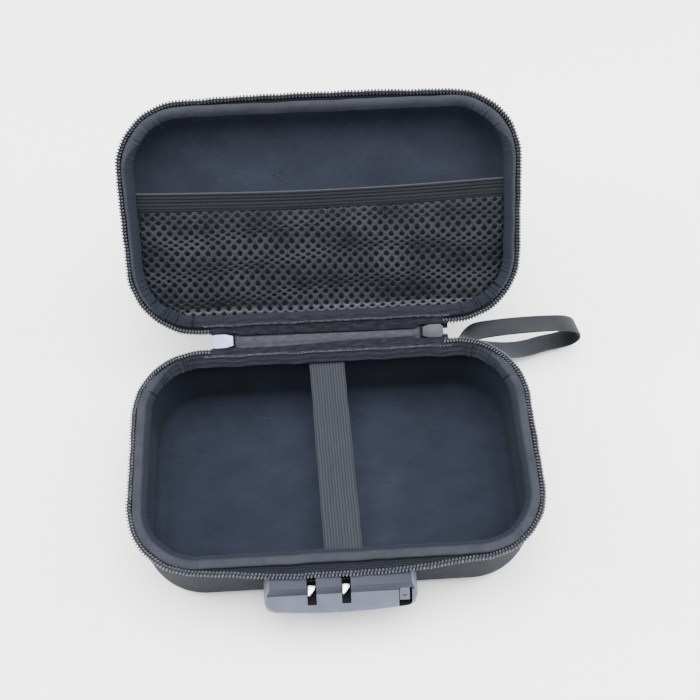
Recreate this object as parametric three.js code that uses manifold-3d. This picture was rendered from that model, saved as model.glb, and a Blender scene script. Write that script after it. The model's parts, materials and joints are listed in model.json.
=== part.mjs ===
// A zipped, moulded storage case standing open, with a combination lock on its front wall.
// Millimetres, +X to the right, +Y to the back, +Z up. The origin is the middle of the flat bottom.
// Sizes inside a half are given as an inset from the zip's outer edge and a depth from the parting plane.
import * as THREE from 'three';
import { mergeVertices } from 'three/addons/utils/BufferGeometryUtils.js';
import Module from 'manifold-3d';

const wasm = await Module();
wasm.setup();

// The whole case
const zipWidth = 222;
const zipDepth = 130.5;
const zipCornerRadius = 38.5;
const baseHeight = 54;
const lidHeight = 28;
const hingeGap = 9;
const lidRestAngle = 133;
const partingClearance = 0.15;
const fit = 0.3;

// How finely round shapes are cut, and how far a cutting shape runs past what it cuts
const roundSides = 16;
const weldDistance = 1e-4;
const overshoot = 1;

// The moulded halves and their linings
const shellInset = 1.5;
const shellWall = 3.5;
const shellDraft = 0.8;
const shellFillet = 12;
const liningThickness = 1;
const draftAllowance = 0.08;
const cornerSteps = 7;
const filletSteps = 4;

// The sewn edge: binding roll, zip tape and zip coil
const bindingInset = 3.4;
const bindingWidth = 7;
const bindingHeight = 4.6;
const bindingRound = 1.5;
const grooveDepth = 1.2;
const grooveHeight = 1.5;
const tapeThickness = 0.7;
const coilRadius = 0.85;
const coilSides = 8;

// The hinge strip, and the zip's two ends with their sliders
const stripHalfLength = 53;
const stripThickness = 0.8;
const stripAxisClearance = 0.5;
const stopLength = 0.9;
const stopWidth = 7;
const stopThickness = 2.4;
const chainWidth = 4;
const chainThickness = 1.4;
const chainHeld = 1.3;
const sliderLength = 12;
const sliderWidth = 7.6;
const sliderNoseWidth = 5.4;
const sliderShoulder = 4.2;
const sliderCorner = 1.5;
const sliderThickness = 3.8;
const sliderTravel = 6.5;
const pullPinRadius = 0.8;
const pullEyeRadius = 1.9;
const pullEyeBore = 1.1;
const pullEyeWidth = 3.6;
const pullLength = 21;
const pullWidth = 8;
const pullThickness = 1.2;
const pullNeckLength = 1.5;
const pullCorner = 2;
const pullHoleLength = 5;
const pullHoleWidth = 4.4;
const earThickness = 1;
const earLength = 3;
const earCrown = 0.4;
const pinShort = 0.1;

// The elastic divider band across the base
const bandWidth = 20;
const bandThickness = 1.2;
const bandRearX = -1.6;
const bandFrontX = 2;

// The mesh pocket in the lid
const elasticTopY = -16.5;
const elasticWidth = 10.5;
const elasticThickness = 1.4;
const netThickness = 0.8;
const netColumnPitch = 14;
const netRowPitch = 6;
const netHoleLength = 8.4;
const netHoleHeight = 4;
const netMargin = 3;

// The wrist strap and the patch that holds its two ends
const strapWidth = 11.5;
const strapThickness = 1.2;
const patchLeft = 56;
const patchLength = 10;
const patchHeight = 12.5;
const patchThickness = 1;
const patchDrop = 11;
const strapLead = 4;
const strapSteps = 48;
const strapTurnStart = 0.025;
const strapTurnLength = 0.09;
const strapLevelX = 0.23;
const strapLevelY = -0.97;

// The lock, measured outwards from the front wall and down from the parting plane
const lockX = -0.6;
const lockWidth = 80;
const lockTopWidth = 73;
const lockTop = 4;
const lockBottom = 34;
const lockLedge = 10.8;
const lockRiserFoot = 12.4;
const lockRiserBottom = 10.5;
const lockLip = 18.5;
const lockLipDown = 17;
const lockBulge = 1.6;
const lipUnderside = 1.5;
const lockFoot = 12.5;
const lockCornerRadius = 9;
const lockPlanRadius = 7;
const lockCoverThickness = 1.5;
const slotWidth = 4.6;
const slotLeftX = -15;
const slotRightX = 2.8;
const slotBack = 4.5;
const slotFloor = 15;
const latchTravel = 3;
const latchPlay = 0.1;
const latchThickness = 3;
const latchTop = 11.4;
const latchBottom = 13.4;
const latchFromLeft = 10;
const latchFromRight = 16;
const noseWidth = 3.9;
const noseReach = 12.8;
const noseTop = 10;
const noseTip = 0.8;
const noseSlant = 3.2;
const noseRoot = 0.5;
const dialRadius = 6;
const dialThickness = 6;
const dialPitch = 9.5;
const dialCount = 3;
const dialFromLeft = 20;
const dialFlutes = 20;
const fluteDepth = 0.45;
const dialDepth = 26;
const dialOut = 9.9;
const dialBore = 1.5;
const shaftRadius = 1.3;
const shaftSeat = 4;
const windowWidth = 6.8;
const buttonFromRight = 7.2;
const buttonWidth = 5.2;
const buttonGapRight = 1.2;
const buttonTop = 9;
const buttonBottom = 16;
const buttonLip = 1.2;
const buttonSetback = 0.15;
const buttonBack = 8.5;
const buttonTravel = 2.5;
const springRadius = 1.5;
const springWire = 0.4;
const springMargin = 1;
const springTurns = 6;
const springWell = 25.5;
const screwRadius = 1.25;
const screwHeadRadius = 2.4;
const screwHeadHeight = 1.3;
const screwHeadTaper = 0.8;
const screwHeadGap = 0.1;
const screwReach = 10;
const screwFromLeft = 7;
const upperScrewFromRight = 18;
const lowerScrewFromRight = 16;
const leftScrewDowns = [12, 29];
const rightScrewDowns = [20, 30];
const plateThickness = 1.5;
const plateMarginSide = 4;
const plateMarginDown = 3;

// Places that follow from the sizes above
const hingeY = (zipDepth + hingeGap) / 2;
const rimDepth = partingClearance + bindingHeight + fit;
const liningOuterInset = shellInset + shellWall + fit;
const liningInnerInset = liningOuterInset + liningThickness;
const stripEnd = stripHalfLength + fit;
const sliderStart = stripEnd + stopLength + fit;
const zipEndX = sliderStart + sliderLength + fit;
const frontWallY = -(zipDepth / 2 - shellInset);
const chainLength = stopLength + fit + sliderTravel + chainHeld;
const lockHalf = lockWidth / 2;
const lipSlope = (lockLip - lockRiserFoot) / (lockLipDown - lockRiserBottom);
const coverBack = fit;
const housingBack = coverBack + lockCoverThickness + fit;
const plateBack = shellWall + liningThickness + 2 * fit + shellDraft;
const latchBack = housingBack + latchPlay + latchTravel;
const latchFront = latchBack + latchThickness;
const buttonX = lockHalf - buttonFromRight;
const screwPlaces = [
  [screwFromLeft - lockHalf, leftScrewDowns[0]],
  [screwFromLeft - lockHalf, leftScrewDowns[1]],
  [lockHalf - upperScrewFromRight, rightScrewDowns[0]],
  [lockHalf - lowerScrewFromRight, rightScrewDowns[1]],
];

function colour(name, hex, roughness, metalness = 0) {
  const material = new THREE.MeshStandardMaterial({ color: hex, roughness, metalness });
  material.name = name;
  return material;
}
const clothShell = colour('shell_cloth', 0x2b2d31, 0.85);
const velvet = colour('lining_velvet', 0x363c46, 0.95);
const bindingCloth = colour('binding_tape', 0x4a4e56, 0.85);
const zipCloth = colour('zip_tape', 0x2a2c30, 0.85);
const zipPlastic = colour('zip_coil', 0x1f2023, 0.5);
const elasticCloth = colour('elastic', 0x4f545c, 0.8);
const netCloth = colour('net', 0x1d2026, 0.7);
const hingeCloth = colour('hinge_cloth', 0x707580, 0.8);
const strapCloth = colour('strap_webbing', 0x454a50, 0.7);
const lockPlastic = colour('lock_plastic', 0x9a9fae, 0.5);
const darkPlastic = colour('dark_plastic', 0x24252a, 0.5);
const brightMetal = colour('bright_metal', 0xd8dade, 0.25, 1);

// Merges shared corners and drops triangles that have no area.
function weld(geometry) {
  const bare = geometry.clone();
  bare.deleteAttribute('normal');
  bare.deleteAttribute('uv');
  const merged = mergeVertices(bare, weldDistance);
  const index = merged.getIndex().array;
  const kept = [];
  for (let i = 0; i < index.length; i += 3) {
    const [a, b, c] = [index[i], index[i + 1], index[i + 2]];
    if (a !== b && b !== c && c !== a) kept.push(a, b, c);
  }
  merged.setIndex(kept);
  return merged;
}

// Turns a closed mesh the right way out, by the sign of its volume.
function outwards(geometry) {
  const p = geometry.getAttribute('position');
  const index = geometry.getIndex().array;
  const corner = (n) => new THREE.Vector3().fromBufferAttribute(p, n);
  let volume = 0;
  for (let i = 0; i < index.length; i += 3) {
    const a = corner(index[i]);
    volume += a.dot(corner(index[i + 1]).cross(corner(index[i + 2])));
  }
  if (volume < 0) {
    for (let i = 0; i < index.length; i += 3) {
      [index[i + 1], index[i + 2]] = [index[i + 2], index[i + 1]];
    }
  }
  return geometry;
}

function solidOf(geometry) {
  const welded = weld(geometry);
  const vertProperties = new Float32Array(welded.getAttribute('position').array);
  const triVerts = new Uint32Array(welded.getIndex().array);
  return new wasm.Manifold(new wasm.Mesh({ numProp: 3, vertProperties, triVerts }));
}

function geometryOf(solid) {
  const mesh = solid.getMesh();
  const geometry = new THREE.BufferGeometry();
  geometry.setAttribute('position', new THREE.BufferAttribute(new Float32Array(mesh.vertProperties), 3));
  geometry.setIndex(Array.from(mesh.triVerts));
  return geometry;
}

// Joins the first solid with the rest.
function joined(...geometries) {
  return geometryOf(geometries.map(solidOf).reduce((whole, piece) => whole.add(piece)));
}

// Cuts every later shape out of the first.
function cut(body, ...tools) {
  return geometryOf(tools.map(solidOf).reduce((whole, tool) => whole.subtract(tool), solidOf(body)));
}

// A surface over rows of points. Rows may close on themselves, and so may each row.
function skin(rows, { closeRows = false, closeRow = false, capRows = false, capRow = false } = {}) {
  const columns = rows[0].length;
  const positions = rows.flat().flatMap((p) => [p.x, p.y, p.z]);
  const index = [];
  const at = (i, j) => (i % rows.length) * columns + (j % columns);
  const lastRow = closeRows ? rows.length : rows.length - 1;
  const lastColumn = closeRow ? columns : columns - 1;
  for (let i = 0; i < lastRow; i += 1) {
    for (let j = 0; j < lastColumn; j += 1) {
      index.push(at(i, j), at(i, j + 1), at(i + 1, j + 1));
      index.push(at(i, j), at(i + 1, j + 1), at(i + 1, j));
    }
  }
  const fan = (ring, flip) => {
    for (let k = 1; k + 1 < ring.length; k += 1) {
      index.push(ring[0], flip ? ring[k] : ring[k + 1], flip ? ring[k + 1] : ring[k]);
    }
  };
  if (capRows) {
    fan([...Array(columns).keys()].map((j) => at(0, j)), false);
    fan([...Array(columns).keys()].map((j) => at(rows.length - 1, j)), true);
  }
  if (capRow) {
    fan([...Array(rows.length).keys()].map((i) => at(i, 0)), true);
    fan([...Array(rows.length).keys()].map((i) => at(i, columns - 1)), false);
  }
  const geometry = new THREE.BufferGeometry();
  geometry.setAttribute('position', new THREE.Float32BufferAttribute(positions, 3));
  geometry.setIndex(index);
  return outwards(weld(geometry));
}

// One corner of the rounded outline, as angles from the first to the last.
function corner(inset, sideX, sideY, firstAngle) {
  const radius = Math.max(zipCornerRadius - inset, 1);
  const centreX = sideX * (zipWidth / 2 - inset - radius);
  const centreY = sideY * (zipDepth / 2 - inset - radius);
  const points = [];
  for (let k = 0; k <= cornerSteps; k += 1) {
    const angle = firstAngle + (k / cornerSteps) * Math.PI / 2;
    points.push([centreX + radius * Math.cos(angle), centreY + radius * Math.sin(angle)]);
  }
  return points;
}

// The whole outline at an inset, from the rear left corner round the front to the rear right.
function outline(inset, depth) {
  const points = [
    ...corner(inset, -1, 1, Math.PI / 2),
    ...corner(inset, -1, -1, Math.PI),
    ...corner(inset, 1, -1, Math.PI * 1.5),
    ...corner(inset, 1, 1, 0),
  ];
  return points.map(([x, y]) => new THREE.Vector3(x, y, depth));
}

// The same outline left open at the rear, between two ends.
function openOutline(inset, depth, endX) {
  const rearY = zipDepth / 2 - inset;
  const around = outline(inset, depth);
  return [new THREE.Vector3(-endX, rearY, depth), ...around, new THREE.Vector3(endX, rearY, depth)];
}

// Rings of a moulded wall from the middle of its floor out to its rim, as [inset, depth] pairs.
function wallRings(inset, fillet, floorDepth) {
  const rings = [];
  const filletInset = inset + shellDraft + fillet;
  for (let k = 0; k <= filletSteps; k += 1) {
    const angle = (1 - k / filletSteps) * Math.PI / 2;
    rings.push([filletInset - fillet * Math.cos(angle), floorDepth - fillet + fillet * Math.sin(angle)]);
  }
  rings.push([inset, rimDepth]);
  return rings;
}

// A tray: an outer face, a rim and an inner face, closed by its two flat floors.
function tray(inset, wall, fillet, floorDepth) {
  const outside = wallRings(inset, fillet, floorDepth);
  const inside = wallRings(inset + wall, fillet - wall, floorDepth - wall).reverse();
  const rows = [...outside, ...inside].map(([i, d]) => outline(i, d));
  return skin(rows, { closeRow: true, capRows: true });
}

// A ring of one closed section carried all the way round.
function ring(section) {
  return skin(section.map(([i, d]) => outline(i, d)), { closeRows: true, closeRow: true });
}

// One section carried from one zip end round the front to the other.
function zipRun(section) {
  return skin(section.map(([i, d]) => openOutline(i, d, zipEndX)), { closeRows: true, capRow: true });
}

const root = new THREE.Group();
const lid = new THREE.Group();
lid.position.set(0, hingeY, baseHeight);
lid.rotation.x = -THREE.MathUtils.degToRad(lidRestAngle);
root.add(lid);

function piece(parent, name, geometry, material) {
  const mesh = new THREE.Mesh(outwards(weld(geometry)), material);
  mesh.name = name;
  parent.add(mesh);
  return mesh;
}

// Puts a shape given in insets and depths on the base, whose depths run down from the rim.
function onBase(name, geometry, material) {
  const turned = geometry.clone().applyMatrix4(new THREE.Matrix4().makeScale(1, 1, -1));
  turned.translate(0, 0, baseHeight);
  return piece(root, name, turned, material);
}

// Puts the same kind of shape on the lid, whose depths run away from the base.
function onLid(name, geometry, material) {
  return piece(lid, name, geometry.clone().translate(0, -hingeY, 0), material);
}

// The binding roll's section, with rounded corners and a groove that takes the zip tape.
const bindingTop = partingClearance;
const bindingMiddle = bindingTop + bindingHeight / 2;
function bindingSection() {
  const inner = bindingInset + bindingWidth;
  const bottom = bindingTop + bindingHeight;
  return [
    [bindingInset + bindingRound, bindingTop],
    [inner - bindingRound, bindingTop],
    [inner, bindingTop + bindingRound],
    [inner, bottom - bindingRound],
    [inner - bindingRound, bottom],
    [bindingInset + bindingRound / 2, bottom],
    [bindingInset, bindingMiddle + grooveHeight / 2],
    [bindingInset + grooveDepth, bindingMiddle + grooveHeight / 2],
    [bindingInset + grooveDepth, bindingMiddle - grooveHeight / 2],
    [bindingInset, bindingMiddle - grooveHeight / 2],
  ];
}

// The tape rises from the groove to lie level with the coil.
const coilDepth = partingClearance + coilRadius;
function tapeSection() {
  const grooveInset = bindingInset + grooveDepth - fit;
  const mouthInset = bindingInset - fit;
  const edgeInset = 2 * coilRadius + fit;
  const half = tapeThickness / 2;
  return [
    [mouthInset, bindingMiddle + half],
    [grooveInset, bindingMiddle + half],
    [grooveInset, bindingMiddle - half],
    [mouthInset, bindingMiddle - half],
    [edgeInset, coilDepth - half],
    [edgeInset, coilDepth + half],
  ];
}

function coilSection() {
  const points = [];
  for (let k = 0; k < coilSides; k += 1) {
    const angle = (k + 0.5) / coilSides * Math.PI * 2;
    points.push([coilRadius * (1 - Math.cos(angle)), coilDepth + coilRadius * Math.sin(angle)]);
  }
  return points;
}

// Half of the hinge strip: from the binding's groove to just short of the hinge axis.
function hingeStrip() {
  const grooveY = zipDepth / 2 - bindingInset - grooveDepth + fit;
  const mouthY = zipDepth / 2 - bindingInset + fit;
  const axisY = hingeY - stripAxisClearance;
  const half = stripThickness / 2;
  const axisDepth = partingClearance + half;
  const section = [
    [mouthY, bindingMiddle - half],
    [grooveY, bindingMiddle - half],
    [grooveY, bindingMiddle + half],
    [mouthY, bindingMiddle + half],
    [axisY, axisDepth + half],
    [axisY, axisDepth - half],
  ];
  const side = (x) => section.map(([y, d]) => new THREE.Vector3(x, y, d));
  return skin([side(-stripHalfLength), side(stripHalfLength)], { closeRow: true, capRows: true });
}

for (const [place, half] of [[onBase, 'base'], [onLid, 'lid']]) {
  place(`${half}_binding`, ring(bindingSection()), bindingCloth);
  place(`${half}_zip_tape`, zipRun(tapeSection()), zipCloth);
  place(`${half}_zip_coil`, zipRun(coilSection()), zipPlastic);
  place(`hinge_strip_${half}`, hingeStrip(), hingeCloth);
}

// The screws' places as cylinders through the front wall.
function cylinderAlongY(radius, fromY, toY, x, z) {
  const shape = new THREE.CylinderGeometry(radius, radius, toY - fromY, roundSides);
  return shape.translate(x, (fromY + toY) / 2, z);
}
function wallHoles() {
  const inner = frontWallY + plateBack + overshoot;
  const outer = frontWallY - overshoot;
  return screwPlaces.map(([x, down]) => (
    cylinderAlongY(screwRadius + fit, outer, inner, lockX + x, baseHeight - down)
  ));
}

function basePart(name, geometry, material) {
  const mesh = onBase(name, geometry, material);
  mesh.geometry = cut(mesh.geometry, ...wallHoles());
}
basePart('base_shell', tray(shellInset, shellWall, shellFillet, baseHeight), clothShell);
const liningFillet = shellFillet - shellWall - fit;
const liningRadius = [liningOuterInset, liningThickness, liningFillet];
basePart('base_lining', tray(...liningRadius, baseHeight - shellWall - fit), velvet);
onLid('lid_shell', tray(shellInset, shellWall, shellFillet, lidHeight), clothShell);
onLid('lid_lining', tray(...liningRadius, lidHeight - shellWall - fit), velvet);

// A flat plate over a list of corners, from one depth to another.
function plate(corners, depth, thickness, holes = []) {
  const shape = new THREE.Shape(corners.map(([x, y]) => new THREE.Vector2(x, y)));
  shape.holes = holes.map((hole) => new THREE.Path(hole.map(([x, y]) => new THREE.Vector2(x, y))));
  const geometry = new THREE.ExtrudeGeometry(shape, { depth: thickness, bevelEnabled: false });
  return geometry.translate(0, 0, depth);
}

// The divider band lies just under the binding, from lining to lining.
const heldDepth = rimDepth + fit;
const heldInset = liningInnerInset + fit;
const heldY = zipDepth / 2 - heldInset - draftAllowance;
const bandHalf = bandWidth / 2;
onBase('divider_band', plate([
  [bandRearX - bandHalf, heldY],
  [bandFrontX - bandHalf, -heldY],
  [bandFrontX + bandHalf, -heldY],
  [bandRearX + bandHalf, heldY],
], heldDepth, bandThickness), elasticCloth);

// The pocket net, cut along the elastic and rounded with the lid's lining.
const netEdgeY = elasticTopY + elasticWidth + fit;
function netCorners() {
  const inset = heldInset + draftAllowance;
  const left = corner(inset, -1, 1, Math.PI / 2);
  const right = corner(inset, 1, 1, 0);
  const sideX = zipWidth / 2 - inset;
  return [...left, [-sideX, netEdgeY], [sideX, netEdgeY], ...right];
}

// Hexagonal holes in staggered rows, kept inside the net's rounded edge.
function netHoles() {
  const radius = zipCornerRadius - heldInset;
  const sideX = zipWidth / 2 - heldInset;
  const rearY = zipDepth / 2 - heldInset;
  const inside = (x, y) => {
    const overX = Math.abs(x) - (sideX - radius);
    const overY = y - (rearY - radius);
    const inCorner = overX > 0 && overY > 0;
    const corner = inCorner ? Math.hypot(overX, overY) < radius - netMargin : true;
    return corner && Math.abs(x) < sideX - netMargin && y < rearY - netMargin && y > netEdgeY + netMargin / 2;
  };
  const holes = [];
  const halfLength = netHoleLength / 2;
  const halfHeight = netHoleHeight / 2;
  const firstY = netEdgeY + netMargin / 2 + halfHeight + fit;
  for (let row = 0; firstY + row * netRowPitch < rearY; row += 1) {
    const y = firstY + row * netRowPitch;
    const shift = row % 2 === 0 ? 0 : netColumnPitch / 2;
    const columns = Math.ceil(sideX / netColumnPitch);
    for (let column = -columns; column <= columns; column += 1) {
      const x = column * netColumnPitch + shift;
      const hole = [
        [x - halfLength, y],
        [x - halfLength / 2, y + halfHeight],
        [x + halfLength / 2, y + halfHeight],
        [x + halfLength, y],
        [x + halfLength / 2, y - halfHeight],
        [x - halfLength / 2, y - halfHeight],
      ];
      if (hole.every(([px, py]) => inside(px, py))) holes.push(hole);
    }
  }
  return holes;
}
onLid('pocket_net', plate(netCorners(), heldDepth, netThickness, netHoles()), netCloth);

const elasticX = zipWidth / 2 - heldInset - draftAllowance;
onLid('pocket_elastic', plate([
  [-elasticX, elasticTopY],
  [elasticX, elasticTopY],
  [elasticX, elasticTopY + elasticWidth],
  [-elasticX, elasticTopY + elasticWidth],
], heldDepth, elasticThickness), elasticCloth);

// The zip's two ends. Each turns with the fold of the hinge, at half of the lid's angle.
function sliderBody() {
  const half = sliderWidth / 2;
  const nose = sliderNoseWidth / 2;
  const shape = new THREE.Shape([
    new THREE.Vector2(0, -nose),
    new THREE.Vector2(sliderShoulder, -half),
    new THREE.Vector2(sliderLength - sliderCorner, -half),
    new THREE.Vector2(sliderLength, -half + sliderCorner),
    new THREE.Vector2(sliderLength, half - sliderCorner),
    new THREE.Vector2(sliderLength - sliderCorner, half),
    new THREE.Vector2(sliderShoulder, half),
    new THREE.Vector2(0, nose),
  ]);
  const body = new THREE.ExtrudeGeometry(shape, { depth: sliderThickness, bevelEnabled: false });
  body.translate(0, 0, -sliderThickness / 2).rotateX(-Math.PI / 2);
  const channelWidth = chainWidth + 2 * fit;
  const channelHeight = chainThickness + 2 * fit;
  const channel = new THREE.BoxGeometry(sliderLength + 2 * overshoot, channelHeight, channelWidth);
  channel.translate(sliderLength / 2, 0, 0);
  const earReach = sliderThickness / 2 + fit + pullEyeRadius;
  const pinReach = pullEyeWidth / 2 + fit + earThickness;
  const ears = [-1, 1].map((side) => {
    const height = earReach + pullPinRadius + earCrown - chainThickness;
    const ear = new THREE.BoxGeometry(earLength, height, earThickness);
    return ear.translate(sliderLength / 2, chainThickness + height / 2, side * (pinReach - earThickness / 2));
  });
  const pinLength = 2 * (pinReach - pinShort);
  const pin = new THREE.CylinderGeometry(pullPinRadius, pullPinRadius, pinLength, roundSides);
  pin.rotateX(Math.PI / 2).translate(sliderLength / 2, earReach, 0);
  return joined(cut(body, channel), ...ears, pin);
}

function pullBody() {
  const reach = sliderThickness / 2 + fit + pullEyeRadius;
  const eye = new THREE.CylinderGeometry(pullEyeRadius, pullEyeRadius, pullEyeWidth, roundSides);
  eye.rotateX(Math.PI / 2).translate(sliderLength / 2, reach, 0);
  const half = pullWidth / 2;
  const neck = pullEyeWidth / 2;
  const shoulder = pullEyeRadius + pullNeckLength;
  const shape = new THREE.Shape([
    new THREE.Vector2(0, -neck),
    new THREE.Vector2(shoulder, -neck),
    new THREE.Vector2(shoulder + pullCorner, -half),
    new THREE.Vector2(pullLength - pullCorner, -half),
    new THREE.Vector2(pullLength, -half + pullCorner),
    new THREE.Vector2(pullLength, half - pullCorner),
    new THREE.Vector2(pullLength - pullCorner, half),
    new THREE.Vector2(shoulder + pullCorner, half),
    new THREE.Vector2(shoulder, neck),
    new THREE.Vector2(0, neck),
  ]);
  const holeStart = pullLength - pullCorner - pullHoleLength;
  const hole = new THREE.Path([
    new THREE.Vector2(holeStart, -pullHoleWidth / 2),
    new THREE.Vector2(holeStart + pullHoleLength, -pullHoleWidth / 2),
    new THREE.Vector2(holeStart + pullHoleLength, pullHoleWidth / 2),
    new THREE.Vector2(holeStart, pullHoleWidth / 2),
  ]);
  shape.holes.push(hole);
  const tab = new THREE.ExtrudeGeometry(shape, { depth: pullThickness, bevelEnabled: false });
  tab.translate(0, 0, -pullThickness / 2);
  // The tab's length runs outwards along Y, its width along Z and its thickness along X.
  tab.applyMatrix4(new THREE.Matrix4().set(0, 0, 1, 0, 1, 0, 0, 0, 0, 1, 0, 0, 0, 0, 0, 1));
  tab.translate(sliderLength / 2, reach, 0);
  const boreLength = pullEyeWidth + 2 * overshoot;
  const bore = new THREE.CylinderGeometry(pullEyeBore, pullEyeBore, boreLength, roundSides);
  bore.rotateX(Math.PI / 2).translate(sliderLength / 2, reach, 0);
  return cut(joined(eye, tab), bore);
}

function zipStop() {
  const stop = new THREE.BoxGeometry(stopLength, stopThickness, stopWidth);
  stop.translate(stripEnd + stopLength / 2, 0, 0);
  const chain = new THREE.BoxGeometry(chainLength, chainThickness, chainWidth);
  chain.translate(stripEnd + chainLength / 2, 0, 0);
  return joined(stop, chain);
}

for (const [side, mirror] of [['left', -1], ['right', 1]]) {
  const fold = new THREE.Group();
  fold.position.set(0, hingeY, baseHeight);
  fold.rotation.x = -THREE.MathUtils.degToRad(lidRestAngle / 2);
  root.add(fold);
  const mirrored = (geometry) => geometry.clone().applyMatrix4(new THREE.Matrix4().makeScale(mirror, 1, 1));
  piece(fold, `zip_stop_${side}`, mirrored(zipStop()), zipPlastic);
  piece(fold, `zip_slider_${side}`, mirrored(sliderBody().translate(sliderStart, 0, 0)), brightMetal);
  piece(fold, `zip_pull_${side}`, mirrored(pullBody().translate(sliderStart, 0, 0)), brightMetal);
}

// The strap's patch on the rear wall, and the strap itself: out along its upper leg and back.
const rearWallY = zipDepth / 2 - shellInset;
const patchMiddleZ = baseHeight - patchDrop;
const patch = new THREE.BoxGeometry(patchLength, patchThickness, patchHeight);
patch.translate(patchLeft + patchLength / 2, rearWallY + fit + patchThickness / 2, patchMiddleZ);
piece(root, 'strap_patch', patch, strapCloth);

const strapStartX = patchLeft + patchLength + fit;
const innerLegY = rearWallY + fit + strapThickness / 2;
const outerLegY = innerLegY + strapThickness + fit;
const strapRoute = [
  [strapStartX, outerLegY, patchMiddleZ],
  [strapStartX + strapLead / 2, outerLegY, patchMiddleZ],
  [strapStartX + strapLead, outerLegY, patchMiddleZ],
  [74.6, 67.4, 44],
  [80, 70.2, 45.4],
  [88, 72.8, 46.2],
  [98, 74.5, 45.6],
  [111, 77, 42.8],
  [123, 79.6, 39],
  [135, 82.2, 34.6],
  [145, 84.4, 30],
  [151.5, 86, 24.6],
  [155, 87.2, 18],
  [155.2, 87.6, 11.5],
  [151.5, 87.2, 7],
  [144.5, 86.2, 5.4],
  [135.5, 84.4, 6],
  [125.5, 80.8, 8],
  [115.5, 77.4, 12.2],
  [105.5, 74.4, 18.4],
  [95.5, 71.8, 25.8],
  [86, 70, 33.6],
  [78.5, 68.2, 39.4],
  [74, 66.5, 42],
  [strapStartX + strapLead, innerLegY, patchMiddleZ],
  [strapStartX + strapLead / 2, innerLegY, patchMiddleZ],
  [strapStartX, innerLegY, patchMiddleZ],
].map(([x, y, z]) => new THREE.Vector3(x, y, z));

// A flat strap: upright where it is sewn, turning to lie flat along both legs.
function flatStrap() {
  const curve = new THREE.CatmullRomCurve3(strapRoute, false, 'centripetal');
  const upright = new THREE.Vector3(0, 0, 1);
  const level = new THREE.Vector3(strapLevelX, strapLevelY, 0).normalize();
  const rows = [];
  for (let k = 0; k <= strapSteps; k += 1) {
    const t = k / strapSteps;
    const point = curve.getPointAt(t);
    const along = curve.getTangentAt(t);
    const nearEnd = (Math.min(t, 1 - t) - strapTurnStart) / strapTurnLength;
    const turn = THREE.MathUtils.smoothstep(nearEnd, 0, 1) * Math.PI / 2;
    const across = upright.clone().multiplyScalar(Math.cos(turn)).addScaledVector(level, Math.sin(turn));
    across.addScaledVector(along, -across.dot(along)).normalize();
    const up = along.clone().cross(across).normalize();
    const corners = [[-1, -1], [1, -1], [1, 1], [-1, 1]];
    rows.push(corners.map(([a, b]) => point.clone()
      .addScaledVector(across, a * strapWidth / 2)
      .addScaledVector(up, b * strapThickness / 2)));
  }
  return skin(rows, { closeRow: true, capRows: true });
}
piece(root, 'wrist_strap', flatStrap(), strapCloth);

// The lock stands on the front wall. Its shapes are given as x, outwards and down.
const lock = new THREE.Group();
lock.position.set(lockX, frontWallY, baseHeight);
root.add(lock);

function lockBox([x0, x1], [out0, out1], [down0, down1]) {
  const shape = new THREE.BoxGeometry(x1 - x0, out1 - out0, down1 - down0);
  return shape.translate((x0 + x1) / 2, -(out0 + out1) / 2, -(down0 + down1) / 2);
}

// A section given as [outwards, down] points, carried along X.
function lockExtrusion(points, x0, x1) {
  const shape = new THREE.Shape(points.map(([out, down]) => new THREE.Vector2(out, down)));
  const geometry = new THREE.ExtrudeGeometry(shape, { depth: x1 - x0, bevelEnabled: false });
  geometry.translate(0, 0, x0);
  geometry.applyMatrix4(new THREE.Matrix4().set(0, 0, 1, 0, -1, 0, 0, 0, 0, -1, 0, 0, 0, 0, 0, 1));
  return geometry;
}

// Seen from the front, the lock widens from its top to its lip and is rounded at the bottom.
function frontOutline() {
  const half = lockHalf;
  const r = lockCornerRadius;
  const shape = new THREE.Shape();
  shape.moveTo(-lockTopWidth / 2, -lockTop);
  shape.lineTo(-half, -lockLipDown);
  shape.lineTo(-half, -lockBottom + r);
  shape.absarc(-half + r, -lockBottom + r, r, Math.PI, Math.PI * 1.5, false);
  shape.lineTo(half - r, -lockBottom);
  shape.absarc(half - r, -lockBottom + r, r, Math.PI * 1.5, Math.PI * 2, false);
  shape.lineTo(half, -lockLipDown);
  shape.lineTo(lockTopWidth / 2, -lockTop);
  return shape;
}

// Seen from above, its two outer corners are rounded and the lip bulges out between them.
function planOutline() {
  const half = lockHalf;
  const r = lockPlanRadius;
  const shape = new THREE.Shape();
  shape.moveTo(-half, 0);
  shape.lineTo(half, 0);
  shape.lineTo(half, lockLip - r);
  shape.absarc(half - r, lockLip - r, r, 0, Math.PI / 2, false);
  shape.quadraticCurveTo(0, lockLip + 2 * lockBulge, -half + r, lockLip);
  shape.absarc(-half + r, lockLip - r, r, Math.PI / 2, Math.PI, false);
  return shape;
}

// A block with the lock's front outline, between two distances from the wall.
const outlineSteps = 6;
function frontBlock(out0, out1) {
  const settings = { depth: out1 - out0, bevelEnabled: false, curveSegments: outlineSteps };
  const geometry = new THREE.ExtrudeGeometry(frontOutline(), settings);
  return geometry.translate(0, 0, out0).rotateX(Math.PI / 2);
}

// A shape given in x and outwards, carried from one depth down to another.
function planBlock(shape, down0, down1) {
  const settings = { depth: down1 - down0, bevelEnabled: false, curveSegments: outlineSteps };
  const geometry = new THREE.ExtrudeGeometry(shape, settings);
  return geometry.rotateX(Math.PI).translate(0, 0, -down0);
}

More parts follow.
